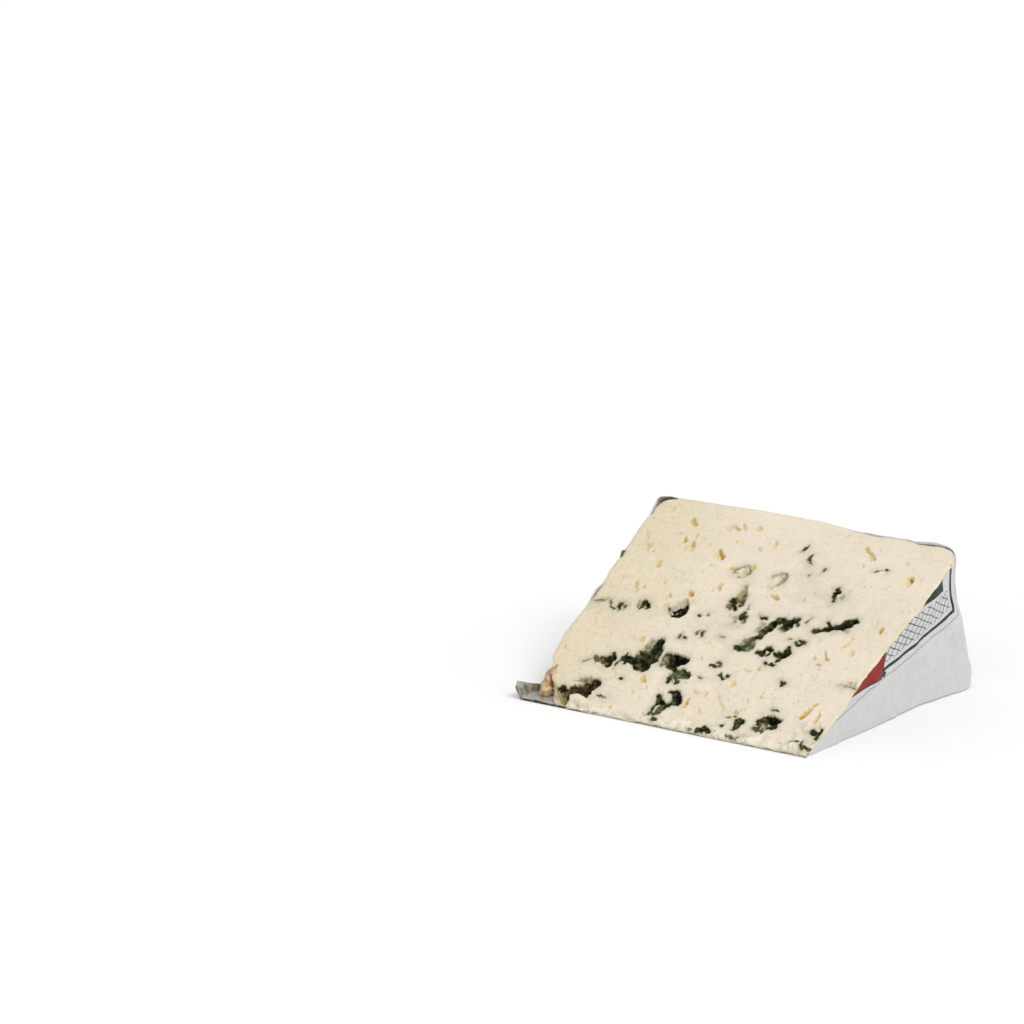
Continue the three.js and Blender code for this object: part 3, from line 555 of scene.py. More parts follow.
def ragged(u, v, coarse, fine, teeth, seed):
    """Places moved about by noise of 2.2 mm and 0.9 mm grain, so that what is drawn there is ragged, and
    along the drag of the wire by noise that is 0.7 mm across the drag and 2.4 mm along it."""
    move = [
        coarse * noise(u, v, size=2.2, seed=seed + n) + fine * noise(u, v, size=0.9, seed=seed + 2 + n)
        for n in range(2)
    ]
    c, s = math.cos(DRAG_TURN), math.sin(DRAG_TURN)
    along, across = v * c - u * s, u * c + v * s
    tooth = teeth * noise(across / 0.7, along / 2.4, seed=seed + 5)
    return u + move[0] - s * tooth, v + move[1] + c * tooth


POCKET_SLANT = 1.1
POCKET_DEPTH, EYE_DEPTH = 0.65, 0.8
# How much wider a pocket is for each millimetre of its depth, and how much wider a gas hole is
MOULD_SPREAD, EYE_SPREAD = 0.16, 0.25


def mould_pockets(u, v, torn_u, torn_v):
    """Height of the pockets of mould, and the marks that the mould's colours follow there.

    A pocket falls steeply all round to half its depth, and reaches the rest in its upper right part,
    where a copy of its outline that is shifted by POCKET_SLANT overlaps it. Its floor is uneven. The deep
    mark of that upper right part also makes the felt darker there, as painted shade.
    """
    pocket, (depth, pale, brown) = reach_inside(torn_u, torn_v, MOULD_STROKES)
    pocket += MOULD_SPREAD * depth + 0.04 * depth * noise(u, v, size=0.8, seed=13)
    ring, ring_values = reach_into_rings(torn_u, torn_v, MOULD_AND_SHADE_RINGS)
    flake, _ = reach_inside(*ragged(u, v, *FLAKE_RAGGED), FLAKE_STROKES)
    on_ring = ring > pocket
    mould = np.minimum(np.maximum(ring, pocket), -flake)
    depth, pale, brown = np.where(on_ring, ring_values, [depth, pale, brown])
    shift = POCKET_SLANT * math.sqrt(0.5)
    shifted, _ = reach_inside(torn_u - shift, torn_v - shift, MOULD_STROKES)
    # The deepest part also darkens the mould's colour through the deep mark: painted shade
    deepest = smoothstep(-0.3, 0.9, np.minimum(shifted, mould))
    fall = smoothstep(-0.12, 0.4, mould)
    floor = 0.45 * noise(u, v, size=1.1, seed=21) + 0.4 * noise(u, v, size=2.6, seed=22)
    height = floor * fall - POCKET_DEPTH * depth * (fall + np.where(on_ring, fall, deepest)) / 2
    return height, {"mould": mould, "deep": deepest, "pale": pale, "brown": brown}


# One large gas hole. Mould lines its shaded right side, and that dark crescent is partly mould and partly
# painted shade
BUBBLE_ACROSS, BUBBLE_UP, BUBBLE_RADIUS = 30.8, 48.9, 3.7
BUBBLE_DEPTH = 2.6


def bubble(u, v, torn_u, torn_v):
    """How sunk the bubble is, from 0 to 1, and how much of its dark crescent there is: mould, and painted
    shade of its deep right side. It is an egg, rounder below, and leans to its deep right side. The
    crescent begins where a slant across the sunk part passes 0.62."""
    aside, above = torn_u - BUBBLE_ACROSS, torn_v - BUBBLE_UP
    inside = BUBBLE_RADIUS - np.hypot(aside / 0.95, above / np.where(above > 0, 1.35, 1.08))
    sunk = smoothstep(-0.1, 1.6, inside + 0.35 * aside / 3)
    shaded = sunk + 0.14 * (aside + 0.2) - 0.04 * above + 0.2 * noise(u, v, size=1.1, seed=24)
    return sunk, smoothstep(0.62, 0.85, shaded) * smoothstep(0.5, 0.8, sunk)


PIT_COUNT, PIT_RADIUS = 170, (0.18, 0.5)


def pits(u, v, rng):
    """Height of small round pits, and how far inside the nearest pit each place is."""
    height, inside = np.zeros(u.shape), np.full(u.shape, OUTSIDE)
    for _ in range(PIT_COUNT):
        pu, pv = rng.uniform(2, FACE_ACROSS - 2), rng.uniform(1, WHEEL_RADIUS - 2)
        radius = rng.uniform(*PIT_RADIUS)
        pit = radius - np.hypot(u - pu, (v - pv) * rng.uniform(0.5, 1.0))
        height -= 0.9 * radius * smoothstep(-0.15, 0.35, pit)
        inside = np.maximum(inside, np.minimum(pit - 0.12, 0.35))
    return height, inside


# The low lip round a hole or a pocket, and how far outside it the lip is highest
LIP_HEIGHT, LIP_OUT = 0.12, 0.35
# How far the front edge stands proud, and over what distance. It is crumbly over the next one, and so is
# the right front corner: across, up and reach
FRONT_PROUD, FRONT_BAND = 0.8, 5.0
CRUMB_BAND = 9.0
CRUMBLY_CORNER, CRUMBLY_REACH = (101, 6), 6
# Where the top edge swells: across, reach and height
SWELL_ACROSS, SWELL_REACH, SWELL_HEIGHT = 27, 13, 0.8


def cut_relief(u, v, edge):
    """Height of the cut over its plane at places across and up, and what its colours follow.

    The height is slow unevenness, drag marks of the wire, a proud and crumbly front edge, raised lumps
    and a low lip round each hole, less the depth of every pocket, hole and pit. edge is the distance to
    the edge of the face.
    """
    torn = ragged(u, v, *MOULD_RAGGED)
    height, marks = mould_pockets(u, v, *torn)
    eye_place = ragged(u, v, *EYE_RAGGED)
    eye, (eye_depth, ochre) = reach_inside(*eye_place, EYE_STROKES)
    eye += EYE_SPREAD * smoothstep(-0.5, 0.2, eye)
    height -= EYE_DEPTH * eye_depth * smoothstep(-0.2, 0.6, eye)
    height += LIP_HEIGHT * bell(eye + LIP_OUT, 0.3)
    height += LIP_HEIGHT * bell(marks["mould"] + LIP_OUT, 0.35) * noise(u, v, size=1.7, seed=23)
    sunk, crescent_of_mould_and_shade = bubble(u, v, *torn)
    height -= BUBBLE_DEPTH * sunk
    # The bubble's crescent is drawn as mould, and the deep mark darkens it further as painted shade
    marks["mould"] = np.maximum(marks["mould"], np.where(crescent_of_mould_and_shade > 0, 1.2 * crescent_of_mould_and_shade - 0.5, OUTSIDE))
    marks["deep"] = np.maximum(marks["deep"], crescent_of_mould_and_shade)
    marks["pale"] = marks["pale"] * (1 - crescent_of_mould_and_shade)
    rng = np.random.default_rng(5)
    pitted, pit = pits(*eye_place, rng)
    height += pitted
    relief = wire_marks(*eye_place, rng)

    raised, (lift,) = reach_inside(*ragged(u, v, *LUMP_RAGGED), RAISED_STROKES)
    height += lift * smoothstep(-0.3, 0.9, raised)
    height += 0.28 * noise(u, v, size=15, seed=3) + 0.1 * noise(u, v, size=4, seed=4)
    drag_lines = 0.7 * noise((u + 0.2 * v) / 22, v / 0.9, seed=5) + 0.5 * noise(u / 9, v / 0.5, seed=15)
    height += 0.09 * drag_lines + 0.07 * noise(u, v, size=0.9, seed=6)
    crumbly = smoothstep(CRUMB_BAND, 0, v + 2.5 * noise(u, v, size=5, seed=7))
    from_corner = np.hypot(u - CRUMBLY_CORNER[0], v - CRUMBLY_CORNER[1])
    crumbly = np.maximum(crumbly, bell(from_corner, CRUMBLY_REACH))
    relief += crumbly * (0.55 * layered(u, v, size=2.0, seed=8) + 0.1)
    relief += 0.14 * noise(u, v, size=1.6, seed=16) * smoothstep(-0.1, 0.6, noise(u, v, size=9, seed=17))
    height += relief
    height += FRONT_PROUD * bell(v, FRONT_BAND)
    height += SWELL_HEIGHT * bell(u - SWELL_ACROSS, SWELL_REACH) * smoothstep(89, WHEEL_RADIUS, v)
    height -= 0.3 * bell(edge, 0.5)
    stain = sum(strength * bell(np.hypot(u - su, v - sv), reach) for su, sv, reach, strength in STAINS)
    return height, {
        **marks,
        "eye": np.maximum(eye, pit),
        "ochre": ochre,
        # The small relief, which the curd's colour follows: a painted highlight where it stands up and
        # painted shade where it is torn
        "relief": relief + 0.06 * drag_lines,
        "stain": np.clip(stain, 0, 1),
        "flat_place": np.stack([u, v, np.zeros_like(u)], -1) / 1000,
    }


SMEAR_COUNT, TEAR_COUNT = 150, 120


def wire_marks(u, v, rng):
    """Relief that the wire left: small smeared lumps, and short tears with a lip along its drag."""
    height = np.zeros(u.shape)
    for _ in range(SMEAR_COUNT):
        su, sv = rng.uniform(1, FACE_ACROSS - 1), rng.uniform(0, WHEEL_RADIUS - 1)
        long, wide = rng.uniform(0.4, 1.5), rng.uniform(0.25, 0.6)
        tilt = rng.normal(DRAG_TURN, 0.4)
        across, along = u - su, v - sv
        along, across = along * math.cos(tilt) - across * math.sin(tilt), across + along * math.sin(tilt)
        height += rng.uniform(0.1, 0.3) * smoothstep(0, 0.7, 1 - np.hypot(along / long, across / wide))
    for _ in range(TEAR_COUNT):
        su, sv = rng.uniform(1, FACE_ACROSS - 1), rng.uniform(2, WHEEL_RADIUS - 2)
        long, wide, tilt = rng.uniform(0.4, 1.5), rng.uniform(0.25, 0.5), rng.normal(DRAG_TURN, 0.35)
        along = (v - sv) * math.cos(tilt) - (u - su) * math.sin(tilt)
        across = (u - su) * math.cos(tilt) + (v - sv) * math.sin(tilt)
        height -= rng.uniform(0.2, 0.5) * smoothstep(0, 0.8, 1 - np.hypot(across / wide, along / long))
        height += 0.25 * smoothstep(0, 0.8, 1 - np.hypot((across + 1.4 * wide) / wide, along / long))
    return height


# The broken corner's edge: how far up the face, and how far in from the left it reaches there
BROKEN_UP = (0, 2, 4, 7, 9, 11, 14, 20, 26)
BROKEN_IN = (17, 13.5, 11.5, 9.5, 7, 5, 2.8, 0.6, 0)


def crumbled_away(up):
    """How far in from the left the broken corner reaches, at a distance up the face."""
    rough = 0.7 * noise(up / 2.6, 0.3, seed=71) + 0.4 * noise(up / 1.0, 0.3, seed=72)
    return np.interp(up, BROKEN_UP, BROKEN_IN) + rough * smoothstep(26, 14, up)


def mesh_object(name, points, quads, triangles):
    """An object whose mesh has these points, in millimetres from the wheel's axis, and these faces. No
    point goes beyond the box of the solids."""
    place = np.clip((points - (0, WHEEL_RADIUS / 2, 0)) / 1000, *cad_box)
    mesh = bpy.data.meshes.new(name)
    mesh.vertices.add(len(place))
    mesh.vertices.foreach_set("co", place.astype(np.float32).ravel())
    corners = np.concatenate([quads.ravel(), triangles.ravel()]).astype(np.int32)
    sizes = np.concatenate([np.full(len(quads), 4), np.full(len(triangles), 3)]).astype(np.int32)
    mesh.loops.add(len(corners))
    mesh.loops.foreach_set("vertex_index", corners)
    mesh.polygons.add(len(sizes))
    mesh.polygons.foreach_set("loop_start", np.concatenate([[0], np.cumsum(sizes)[:-1]]).astype(np.int32))
    mesh.polygons.foreach_set("use_smooth", np.ones(len(sizes), bool))
    mesh.update(calc_edges=True)
    mesh.validate()
    made = bpy.data.objects.new(name, mesh)
    bpy.context.scene.collection.objects.link(made)
    return made


def set_attribute(made, name, values):
    """A number, or a row of three, for each vertex, which a material reads by this name."""
    kind, field = ("FLOAT", "value") if values.ndim == 1 else ("FLOAT_VECTOR", "vector")
    attribute = made.data.attributes.new(name, kind, "POINT")
    attribute.data.foreach_set(field, values.astype(np.float32).ravel())


def ring_quads(ids):
    """Quads between successive rows of vertex numbers, where each row closes on itself."""
    top, low = ids[:-1], ids[1:]
    corners = [top, low, np.roll(low, -1, 1), np.roll(top, -1, 1)]
    return np.stack(corners, -1).reshape(-1, 4)


PASTE_INSET = 0.45
# The underside's height, and the lowest that a pocket's floor comes behind the front edge
PASTE_BOTTOM, FLOOR_LIMIT = 0.5, 0.65
# The front edge rolls over and hangs down to the lip's bottom
FRONT_START, FRONT_ROLL, LIP_BOTTOM = 0.3, 0.7, 0.15
ROWS, COLUMNS = 270, 300
SKIRT_RINGS = 8
FLOOR_SHARES = (0.8, 0.5, 0.2)
# The cut's edge stays inside these, as x and as z
LEFT_LIMIT, TOP_LIMIT = -54.7, 47.0
# How far the cream is smeared over the foil's edge, and how thick the smear is
SMEAR_OVER_FOIL, SMEAR_THICKNESS = 0.35, 0.4


def make_cheese():
    """The cut face is a grid between its four edges: two opposite edges blended, plus the other two
    blended, less the blend of the corners. Its rim then goes down the skin in rings, by turning about
    the axis, and the rings close on the underside."""
    stops = skin_stops(PASTE_INSET)
    half_round = math.pi / 4 * (RIM_ROUND - PASTE_INSET)
    left_path = np.linspace(FRONT_START, stops[0] + half_round, ROWS)
    top_path = np.linspace(left_path[-1], stops[2] + half_round, COLUMNS)
    right_path = np.linspace(stops[4] - FRONT_START, top_path[-1], ROWS)

    def edge_line(path):
        """The cut's edge on the skin, and how far out of the foil it is smeared there."""
        points, normals = skin(path, WEDGE_ANGLE, PASTE_INSET)
        smeared = smoothstep(0.1, -0.3, foil_edge(path, PASTE_INSET))
        beyond = smeared * (SMEAR_OVER_FOIL + SMEAR_THICKNESS) - SMEAR_THICKNESS
        beyond += 0.35 * smeared * noise(path / 6, 2.5, seed=74)
        return points, normals * (PASTE_INSET + creased(points) + beyond)[:, None]

    lines = [edge_line(path) for path in (left_path, top_path, right_path)]
    broken = crumbled_away(lines[0][0] @ SLOPE)
    lines[0][0][:, 0] += broken
    lines[0][1][:] *= smoothstep(2.0, 0.5, broken)[:, None]
    left, top, right = (line + smear for line, smear in lines)
    left[:, 0] = np.maximum(left[:, 0], LEFT_LIMIT)
    a, b = np.meshgrid(np.linspace(0, 1, COLUMNS), np.linspace(0, 1, ROWS))
    a, b = a[..., None], b[..., None]
    front = left[0] + (right[0] - left[0]) * a[0]
    face = (1 - a) * left[:, None] + a * right[:, None] + (1 - b) * front + b * top
    face -= (1 - b) * ((1 - a) * left[0] + a * right[0]) + b * ((1 - a) * left[-1] + a * right[-1])
    u, v = face_place(face)
    edge = np.minimum(face[..., 0] - face[:, :1, 0], face[:, -1:, 0] - face[..., 0])
    edge = np.minimum(edge, np.linalg.norm(face - face[-1:], axis=-1))
    height, marks = cut_relief(u, v, edge)
    face += height[..., None] * CUT_NORMAL
    face[..., 2] -= FRONT_ROLL * bell(v, 0.7)
    lowest = LIP_BOTTOM + (FLOOR_LIMIT - LIP_BOTTOM) * smoothstep(0.3, 1.3, v)
    face[..., 2] = np.clip(face[..., 2], lowest, TOP_LIMIT)

    ids = np.arange(ROWS * COLUMNS).reshape(ROWS, COLUMNS)
    quads = [np.stack([ids[:-1, :-1], ids[:-1, 1:], ids[1:, 1:], ids[1:, :-1]], -1).reshape(-1, 4)]
    rim = np.concatenate([ids[0, :-1], ids[:-1, -1], ids[-1, :0:-1], ids[:0:-1, 0]])
    flat = face.reshape(-1, 3)
    front_share = np.linspace(0, 1, COLUMNS)[:-1, None]

    def skin_loop(turn):
        sides = [skin(path, turn, PASTE_INSET)[0] for path in (left_path, top_path, right_path)]
        front_line = sides[0][0] + (sides[2][0] - sides[0][0]) * front_share
        return np.concatenate([front_line, sides[2][:-1], sides[1][:0:-1], sides[0][:0:-1]])

    smears = [line[1] for line in lines]
    smear = np.concatenate([np.zeros((COLUMNS - 1, 3)), smears[2][:-1], smears[1][:0:-1], smears[0][:0:-1]])
    moved = flat[rim] - smear - skin_loop(WEDGE_ANGLE)
    rings = [flat[rim] - SMEAR_THICKNESS * CUT_NORMAL * smoothstep(0, 0.3, np.abs(smear).max(-1))[:, None]]
    rings[0][:, 2] = np.maximum(rings[0][:, 2], PASTE_BOTTOM)
    for share in np.append(0.02, np.arange(1, SKIRT_RINGS + 1) / SKIRT_RINGS):
        turn = WEDGE_ANGLE * (1 - share)
        ring = skin_loop(turn) + moved * [1 - 0.2 * share, 1 - share, 0]
        crumbled = np.clip(moved[:, 0] / 4, 0, 1) * math.sin(math.pi * share)
        ring[:, 0] += crumbled * 1.2 * noise(ring[:, 1] / 2, share * 5, seed=73)
        fall = math.sin(turn) / math.sin(WEDGE_ANGLE)
        ring[:, 2] = PASTE_BOTTOM + (rings[0][:, 2] - PASTE_BOTTOM) * fall
        rings.append(ring)
    middle = np.array([0, WHEEL_RADIUS / 2, PASTE_BOTTOM])
    rings += [middle + (rings[-1] - middle) * share for share in FLOOR_SHARES]
    points = np.concatenate([flat, *rings, [middle]])
    ring_ids = np.vstack([rim, len(flat) + np.arange(len(rings) * len(rim)).reshape(len(rings), -1)])
    quads.append(ring_quads(ring_ids))
    last = ring_ids[-1]
    fan = np.stack([last, np.full(len(last), len(points) - 1), np.roll(last, -1)], -1)

    made = mesh_object("blue_cheese", points, np.concatenate(quads), fan)
    below = len(points) - len(flat)
    marks["edge"] = edge
    for name, values in marks.items():
        outside = OUTSIDE if name in ("mould", "eye") else 0.0
        values = values.reshape(len(flat), *values.shape[2:])
        set_attribute(made, name, np.concatenate([values, np.full((below, *values.shape[1:]), outside)]))
    return made


def linear(code):
    """An sRGB hex colour as linear red, green, blue and 1: the sRGB curve's inverse on each channel."""
    channels = [int(code[n : n + 2], 16) / 255 for n in (0, 2, 4)]
    return [c / 12.92 if c <= 0.04045 else ((c + 0.055) / 1.055) ** 2.4 for c in channels] + [1]


def per(size):
    """A texture scale, in cells to the metre, whose features are this many millimetres across."""
    return 1000 / size


def new_material(name):
    """A material with an empty tree, and the function that adds a node to it."""
    made = bpy.data.materials.new(name)
    made.use_nodes = True
    tree = made.node_tree
    tree.nodes.clear()

    def node(kind, inputs=(), **settings):
        """Adds a node with its own settings. inputs go to its sockets in use, in order or by name. Each is
        a number, a vector, an sRGB hex colour, an output, or a node for its first output in use."""
        added = tree.nodes.new("ShaderNode" + kind)
        for key, value in settings.items():
            setattr(added, key, value)
        sockets = [socket for socket in added.inputs if socket.enabled]
        for key, value in inputs.items() if isinstance(inputs, dict) else enumerate(inputs):
            socket = added.inputs[key] if isinstance(key, str) else sockets[key]
            if isinstance(value, bpy.types.Node):
                value = next(output for output in value.outputs if output.enabled)
            if isinstance(value, bpy.types.NodeSocket):
                tree.links.new(value, socket)
            else:
                socket.default_value = linear(value) if isinstance(value, str) else value
        return added

    return made, node


# What makes a mix one of colours, and a ramp from 0 to 1 between two values a smooth one
COLOURS = {"data_type": "RGBA"}
SMOOTH = {"interpolation_type": "SMOOTHSTEP"}


def product(node, whole, *factors):
    """The product of numbers and nodes."""
    for factor in factors:
        whole = node("Math", [whole, factor], operation="MULTIPLY")
    return whole


def painted(node, colour, layers):
    """A colour with others laid over it in turn, each by the product of the shares before it."""
    for *shares, over in layers:
        colour = node("Mix", [product(node, *shares), colour, over], **COLOURS)
    return colour


def swayed(node, value, by, amount):
    """A value plus so many times what a noise is over its middle of 0.5."""
    over = node("Math", [by, 0.5], operation="SUBTRACT")
    return node("Math", [over, amount, value], operation="MULTIPLY_ADD")


def ramps(node, table):
    """Smooth ramps by name. A row has the name, the value, and where it is 0 and where it is 1, and may
    have what it goes from and to instead."""
    return {name: node("MapRange", inputs, **SMOOTH) for name, *inputs in table}


def blue_cheese_curd():
    """Sheep's-milk curd, ripened and wire-cut: moist, so it has a soft gloss, and light goes into it.
    Near the rind it is yellower. Mould is dry, dark blue-green felt, paler where it is young, and its
    dust greys the curd round it. The gas holes are sticky and ochre."""
    material, node = new_material("blue_cheese_curd")
    place = node("TexCoord").outputs["Object"]
    flat_place = node("Attribute", attribute_name="flat_place").outputs["Vector"]
    across, up, _ = node("SeparateXYZ", [flat_place]).outputs
    names = ("mould", "eye", "pale", "brown", "ochre", "deep", "relief", "stain", "edge")
    mark = {name: node("Attribute", attribute_name=name).outputs["Fac"] for name in names}
    sizes = (0.35, 0.5, 1.1, 1.4, 1.6, 2.0, 4, 5, 6, 14)
    grain = {size: node("TexNoise", [place, per(size), 3.0]) for size in sizes}

    dragged = node("Mapping", {"Vector": flat_place, "Rotation": (0, 0, -DRAG_TURN), "Scale": (1, 0.3, 1)})
    streaks = node("TexNoise", [dragged, per(0.7), 3.0])
    fine = node("Math", [streaks, 0.6, product(node, grain[0.5], 0.4)], operation="MULTIPLY_ADD")
    frayed = swayed(node, mark["mould"], fine, 1.1)
    ragged_eye = swayed(node, mark["eye"], fine, 0.8)
    from_rind = node("Math", [grain[4], -6.0, mark["edge"]], operation="MULTIPLY_ADD")
    tone = node("Math", [mark["pale"], 0.36], operation="ADD")
    # Painted shade: the felt is darker where the deep mark is, in each pocket's deep upper right part and
    # in the bubble's crescent
    tone = node("Math", [mark["deep"], -0.35, tone], operation="MULTIPLY_ADD")
    tone = swayed(node, swayed(node, tone, fine, 1.3), grain[1.6], 1.7)
    share = ramps(node, [
        ("mould", frayed, -0.08, 0.12),
        ("mould rim", frayed, -0.75, 0.0),
        ("dust", mark["mould"], -3.2, 0.2),
        ("dust patches", grain[5], 0.25, 0.6),
        ("stain patches", grain[4], 0.3, 0.65),
        ("hole", ragged_eye, -0.5, 0.65),
        ("deep hole", ragged_eye, -0.1, 0.9, 0.2, 1.2),
        ("patches", grain[14], 0.35, 0.65),
        ("left side", across, 0.045, 0.005),
        ("specks", grain[1.4], 0.35, 0.75),
        # raised and torn paint light into the cream: a painted highlight on raised relief, painted shade in
        # the tears
        ("raised", mark["relief"], 0.05, 0.35),
        ("torn", mark["relief"], -0.05, -0.4),
        ("near the rind", from_rind, -1.0, -3.5),
        ("front edge", up, 0.0012, 0.0002),
        ("off the corner", across, 0.03, 0.04),
        ("front patches", grain[6], 0.35, 0.6),
        ("olive", tone, 0.05, 0.4),
        ("grey", tone, 0.35, 0.8),
        ("young", tone, 0.8, 1.4),
        ("brown", tone, 0.1, 0.8),
        ("pale brown", tone, 0.7, 1.4),
        ("gloss", grain[2.0], 0.3, 0.7, 0.36, 0.52),
    ])

    ochre = product(node, mark["ochre"], share["deep hole"])
    hole = painted(node, "EBD286", [(ochre, "BE8822")])
    hole_strength = node("Math", [mark["ochre"], 0.85, 0.22], operation="MULTIPLY_ADD")
    cream = painted(node, "E9DCC7", [
        (share["patches"], "E5D8C2"),
        (share["left side"], 0.5, "D8C89F"),
        (share["specks"], 0.35, "F0E9DB"),
        # Painted highlight on raised relief, then painted shade in the tears
        (share["raised"], 0.6, "F1EBDD"),
        (share["torn"], 0.6, "D0BD92"),
        (share["near the rind"], 0.5, "D6C79B"),
        (share["dust"], share["dust patches"], 0.42, "ADB09A"),
        (mark["stain"], share["stain patches"], 0.45, "B2AF9E"),
        (share["mould rim"], 0.55, "8C8866"),
        (share["hole"], hole_strength, hole),
        (share["front edge"], share["off the corner"], share["front patches"], 0.8, "9DA274"),
    ])
    brown = painted(node, "1E1306", [(share["brown"], "6E572C"), (share["pale brown"], "A8956A")])
    felt = painted(node, "0A0A02", [
        (share["olive"], "33351F"),
        (share["grey"], "5F6245"),
        (share["young"], "ADA988"),
        (mark["brown"], 0.8, brown),
    ])

    wire_lines = node("Mapping", {"Vector": place, "Scale": (0.02, 1, 1), "Rotation": (0, 0, 0.05)})
    rough = node("Math", [grain[1.1], grain[0.35]], operation="ADD")
    wired = node("TexNoise", [wire_lines, per(0.5), 2.0])
    height = node("Math", [wired, 0.35, rough], operation="MULTIPLY_ADD")
    shader = node("BsdfPrincipled", {
        "Base Color": painted(node, cream, [(share["mould"], felt)]),
        "Roughness": node("Math", [share["mould"], 0.35, share["gloss"]], operation="MULTIPLY_ADD"),
        "IOR": 1.45,
        "Specular IOR Level": node("MapRange", [share["mould"], 0.0, 1.0, 0.5, 0.1], **SMOOTH),
        "Subsurface Weight": node("MapRange", [share["mould"], 0.0, 1.0, 0.3, 0.05], **SMOOTH),
        "Subsurface Radius": (1.0, 0.85, 0.5),
        "Subsurface Scale": 0.0015,
        "Normal": node("Bump", {"Height": height, "Strength": 0.6, "Distance": 0.00025}),
    })
    node("OutputMaterial", {"Surface": shader})
    return material


cheese = make_cheese()
cheese.data.materials.append(blue_cheese_curd())
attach(cheese, "root")
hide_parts("cheese_paste")


# The crumbs
# Bits of curd that fell as the wedge was cut and handled, and by the crumbled corner a lump of ripe rind,
# stuck between the curd and the foil. They lie loose and joined into one piece here.

# The lump is made of these: along the axis, out from it and up, then half-sizes
LUMPS = [
    (-48.8, 13.4, 3.4, 2.1, 3.4, 3.2),
    (-47.6, 13.8, 6.2, 1.7, 2.2, 1.5),
    (-48.2, 10.6, 2.3, 1.9, 2.8, 2.2),
    (-46.8, 8.0, 1.5, 1.8, 2.8, 1.5),
    (-47.4, 17.0, 5.6, 1.6, 3.0, 2.6),
]
CRUMB_COUNT, CRUMB_SIZE = 110, (0.16, 0.5)
BALL_ROWS, BALL_COLUMNS = 15, 20


def make_crumbs():
    """Lumpy balls: a sphere's point at each pair of angles, times half-sizes and 1 plus a noise. Crumbs
    lie on the cut, half of them in its crumbly front band, but not on mould or past the broken corner.
    tint is 1 on the lump of rind."""
    rng = np.random.default_rng(12)
    u = rng.uniform(3, FACE_ACROSS - 3, CRUMB_COUNT)
    in_front = rng.random(CRUMB_COUNT) < 0.5
    v = np.where(in_front, rng.uniform(1, 16, CRUMB_COUNT), rng.uniform(16, 60, CRUMB_COUNT))
    low, high = face_ends(v)
    height, marks = cut_relief(u, v, np.full(u.shape, 5.0))
    spots = v[:, None] * SLOPE + height[:, None] * CUT_NORMAL
    spots[:, 0] = low + (high - low) * u / FACE_ACROSS
    sizes = rng.uniform(*CRUMB_SIZE, (CRUMB_COUNT, 1)) * rng.uniform(0.6, 1.3, (CRUMB_COUNT, 3))
    held = (marks["mould"] < -0.25) & (u > crumbled_away(v) + 1.0)
    lumps = np.array(LUMPS)
    spots = np.concatenate([lumps[:, :3], spots[held]])
    sizes = np.concatenate([lumps[:, 3:], sizes[held]])

    turns = np.linspace(0, 2 * math.pi, BALL_COLUMNS, endpoint=False)
    turn, lean = np.meshgrid(turns, np.linspace(0, math.pi, BALL_ROWS + 2)[1:-1])
    ball = np.stack([np.sin(lean) * np.cos(turn), np.sin(lean) * np.sin(turn), np.cos(lean)], -1)
    ball = np.concatenate([ball.reshape(-1, 3), [[0, 0, 1], [0, 0, -1]]])
    around = ball[None] * 1.7 + 9 * np.arange(len(spots))[:, None, None]
    lumpy = 1 + 0.34 * layered(*np.moveaxis(around, -1, 0), seed=14, layers=3)
    points = spots[:, None] + ball * sizes[:, None] * lumpy[..., None]

    ids = np.arange(BALL_ROWS * BALL_COLUMNS).reshape(BALL_ROWS, BALL_COLUMNS)
    quads = ring_quads(ids)
    caps = [
        np.stack([np.roll(ids[0], -1), np.full(BALL_COLUMNS, ids.size), ids[0]], -1),
        np.stack([ids[-1], np.full(BALL_COLUMNS, ids.size + 1), np.roll(ids[-1], -1)], -1),
    ]
    shift = np.arange(len(spots))[:, None, None] * len(ball)
    made = mesh_object(
        "cheese_crumbs", points.reshape(-1, 3), (quads + shift).reshape(-1, 4),
        (np.concatenate(caps) + shift).reshape(-1, 3),
    )
    set_attribute(made, "tint", np.repeat(np.arange(len(spots)) < len(LUMPS), len(ball)).astype(float))
    return made


def crumb_curd():
    """The same moist curd, and where tint is 1 the soft pinkish-brown rind with orange in it."""
    material, node = new_material("crumbled_curd_and_rind")
    place = node("TexCoord").outputs["Object"]
    tint = node("Attribute", attribute_name="tint").outputs["Fac"]
    share = ramps(node, [
        ("pale", node("TexNoise", [place, per(3.0), 3.0]), 0.35, 0.6),
        ("orange", node("TexNoise", [place, per(2.2), 3.0]), 0.5, 0.7),
    ])
    rind = painted(node, "B48A60", [(share["pale"], "D3BF9A"), (share["orange"], 0.8, "9C673F")])
    shader = node("BsdfPrincipled", {
        "Base Color": painted(node, "E8DECA", [(tint, rind)]),
        "Roughness": 0.5,
        "Subsurface Weight": 0.3,
        "Subsurface Radius": (1.0, 0.8, 0.55),
        "Subsurface Scale": 0.001,
    })
    node("OutputMaterial", {"Surface": shader})
    return material


crumbs = make_crumbs()
crumbs.data.materials.append(crumb_curd())
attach(crumbs, "root")


# The foil
# One sheet of printed aluminium foil, folded under the wheel and up its walls, and cut through with the
# cheese. It is creased where it was pressed on, and stained inside by the crumbled corner.

FOIL_THICKNESS = 0.25
# How high the front fold stands, and the waves along it: how many, their height and a seed
FRONT_FOLD = 0.5
FRONT_WAVES = [(30, 0.18, 33), (90, 0.15, 34)]
# The front fold shows as far across as this, and then lies this far back under the cheese
FRONT_BARE, FRONT_TUCK = 33, 0.6
# The sheet's inner side bulges at the fold, so the fold keeps this far from the front, and what lies
# within the second distance of the front is squeezed
FRONT_INSIDE, FRONT_SQUEEZED = 0.14, 1.5
LOOP_STEP = 0.85
WALL_RINGS = 56
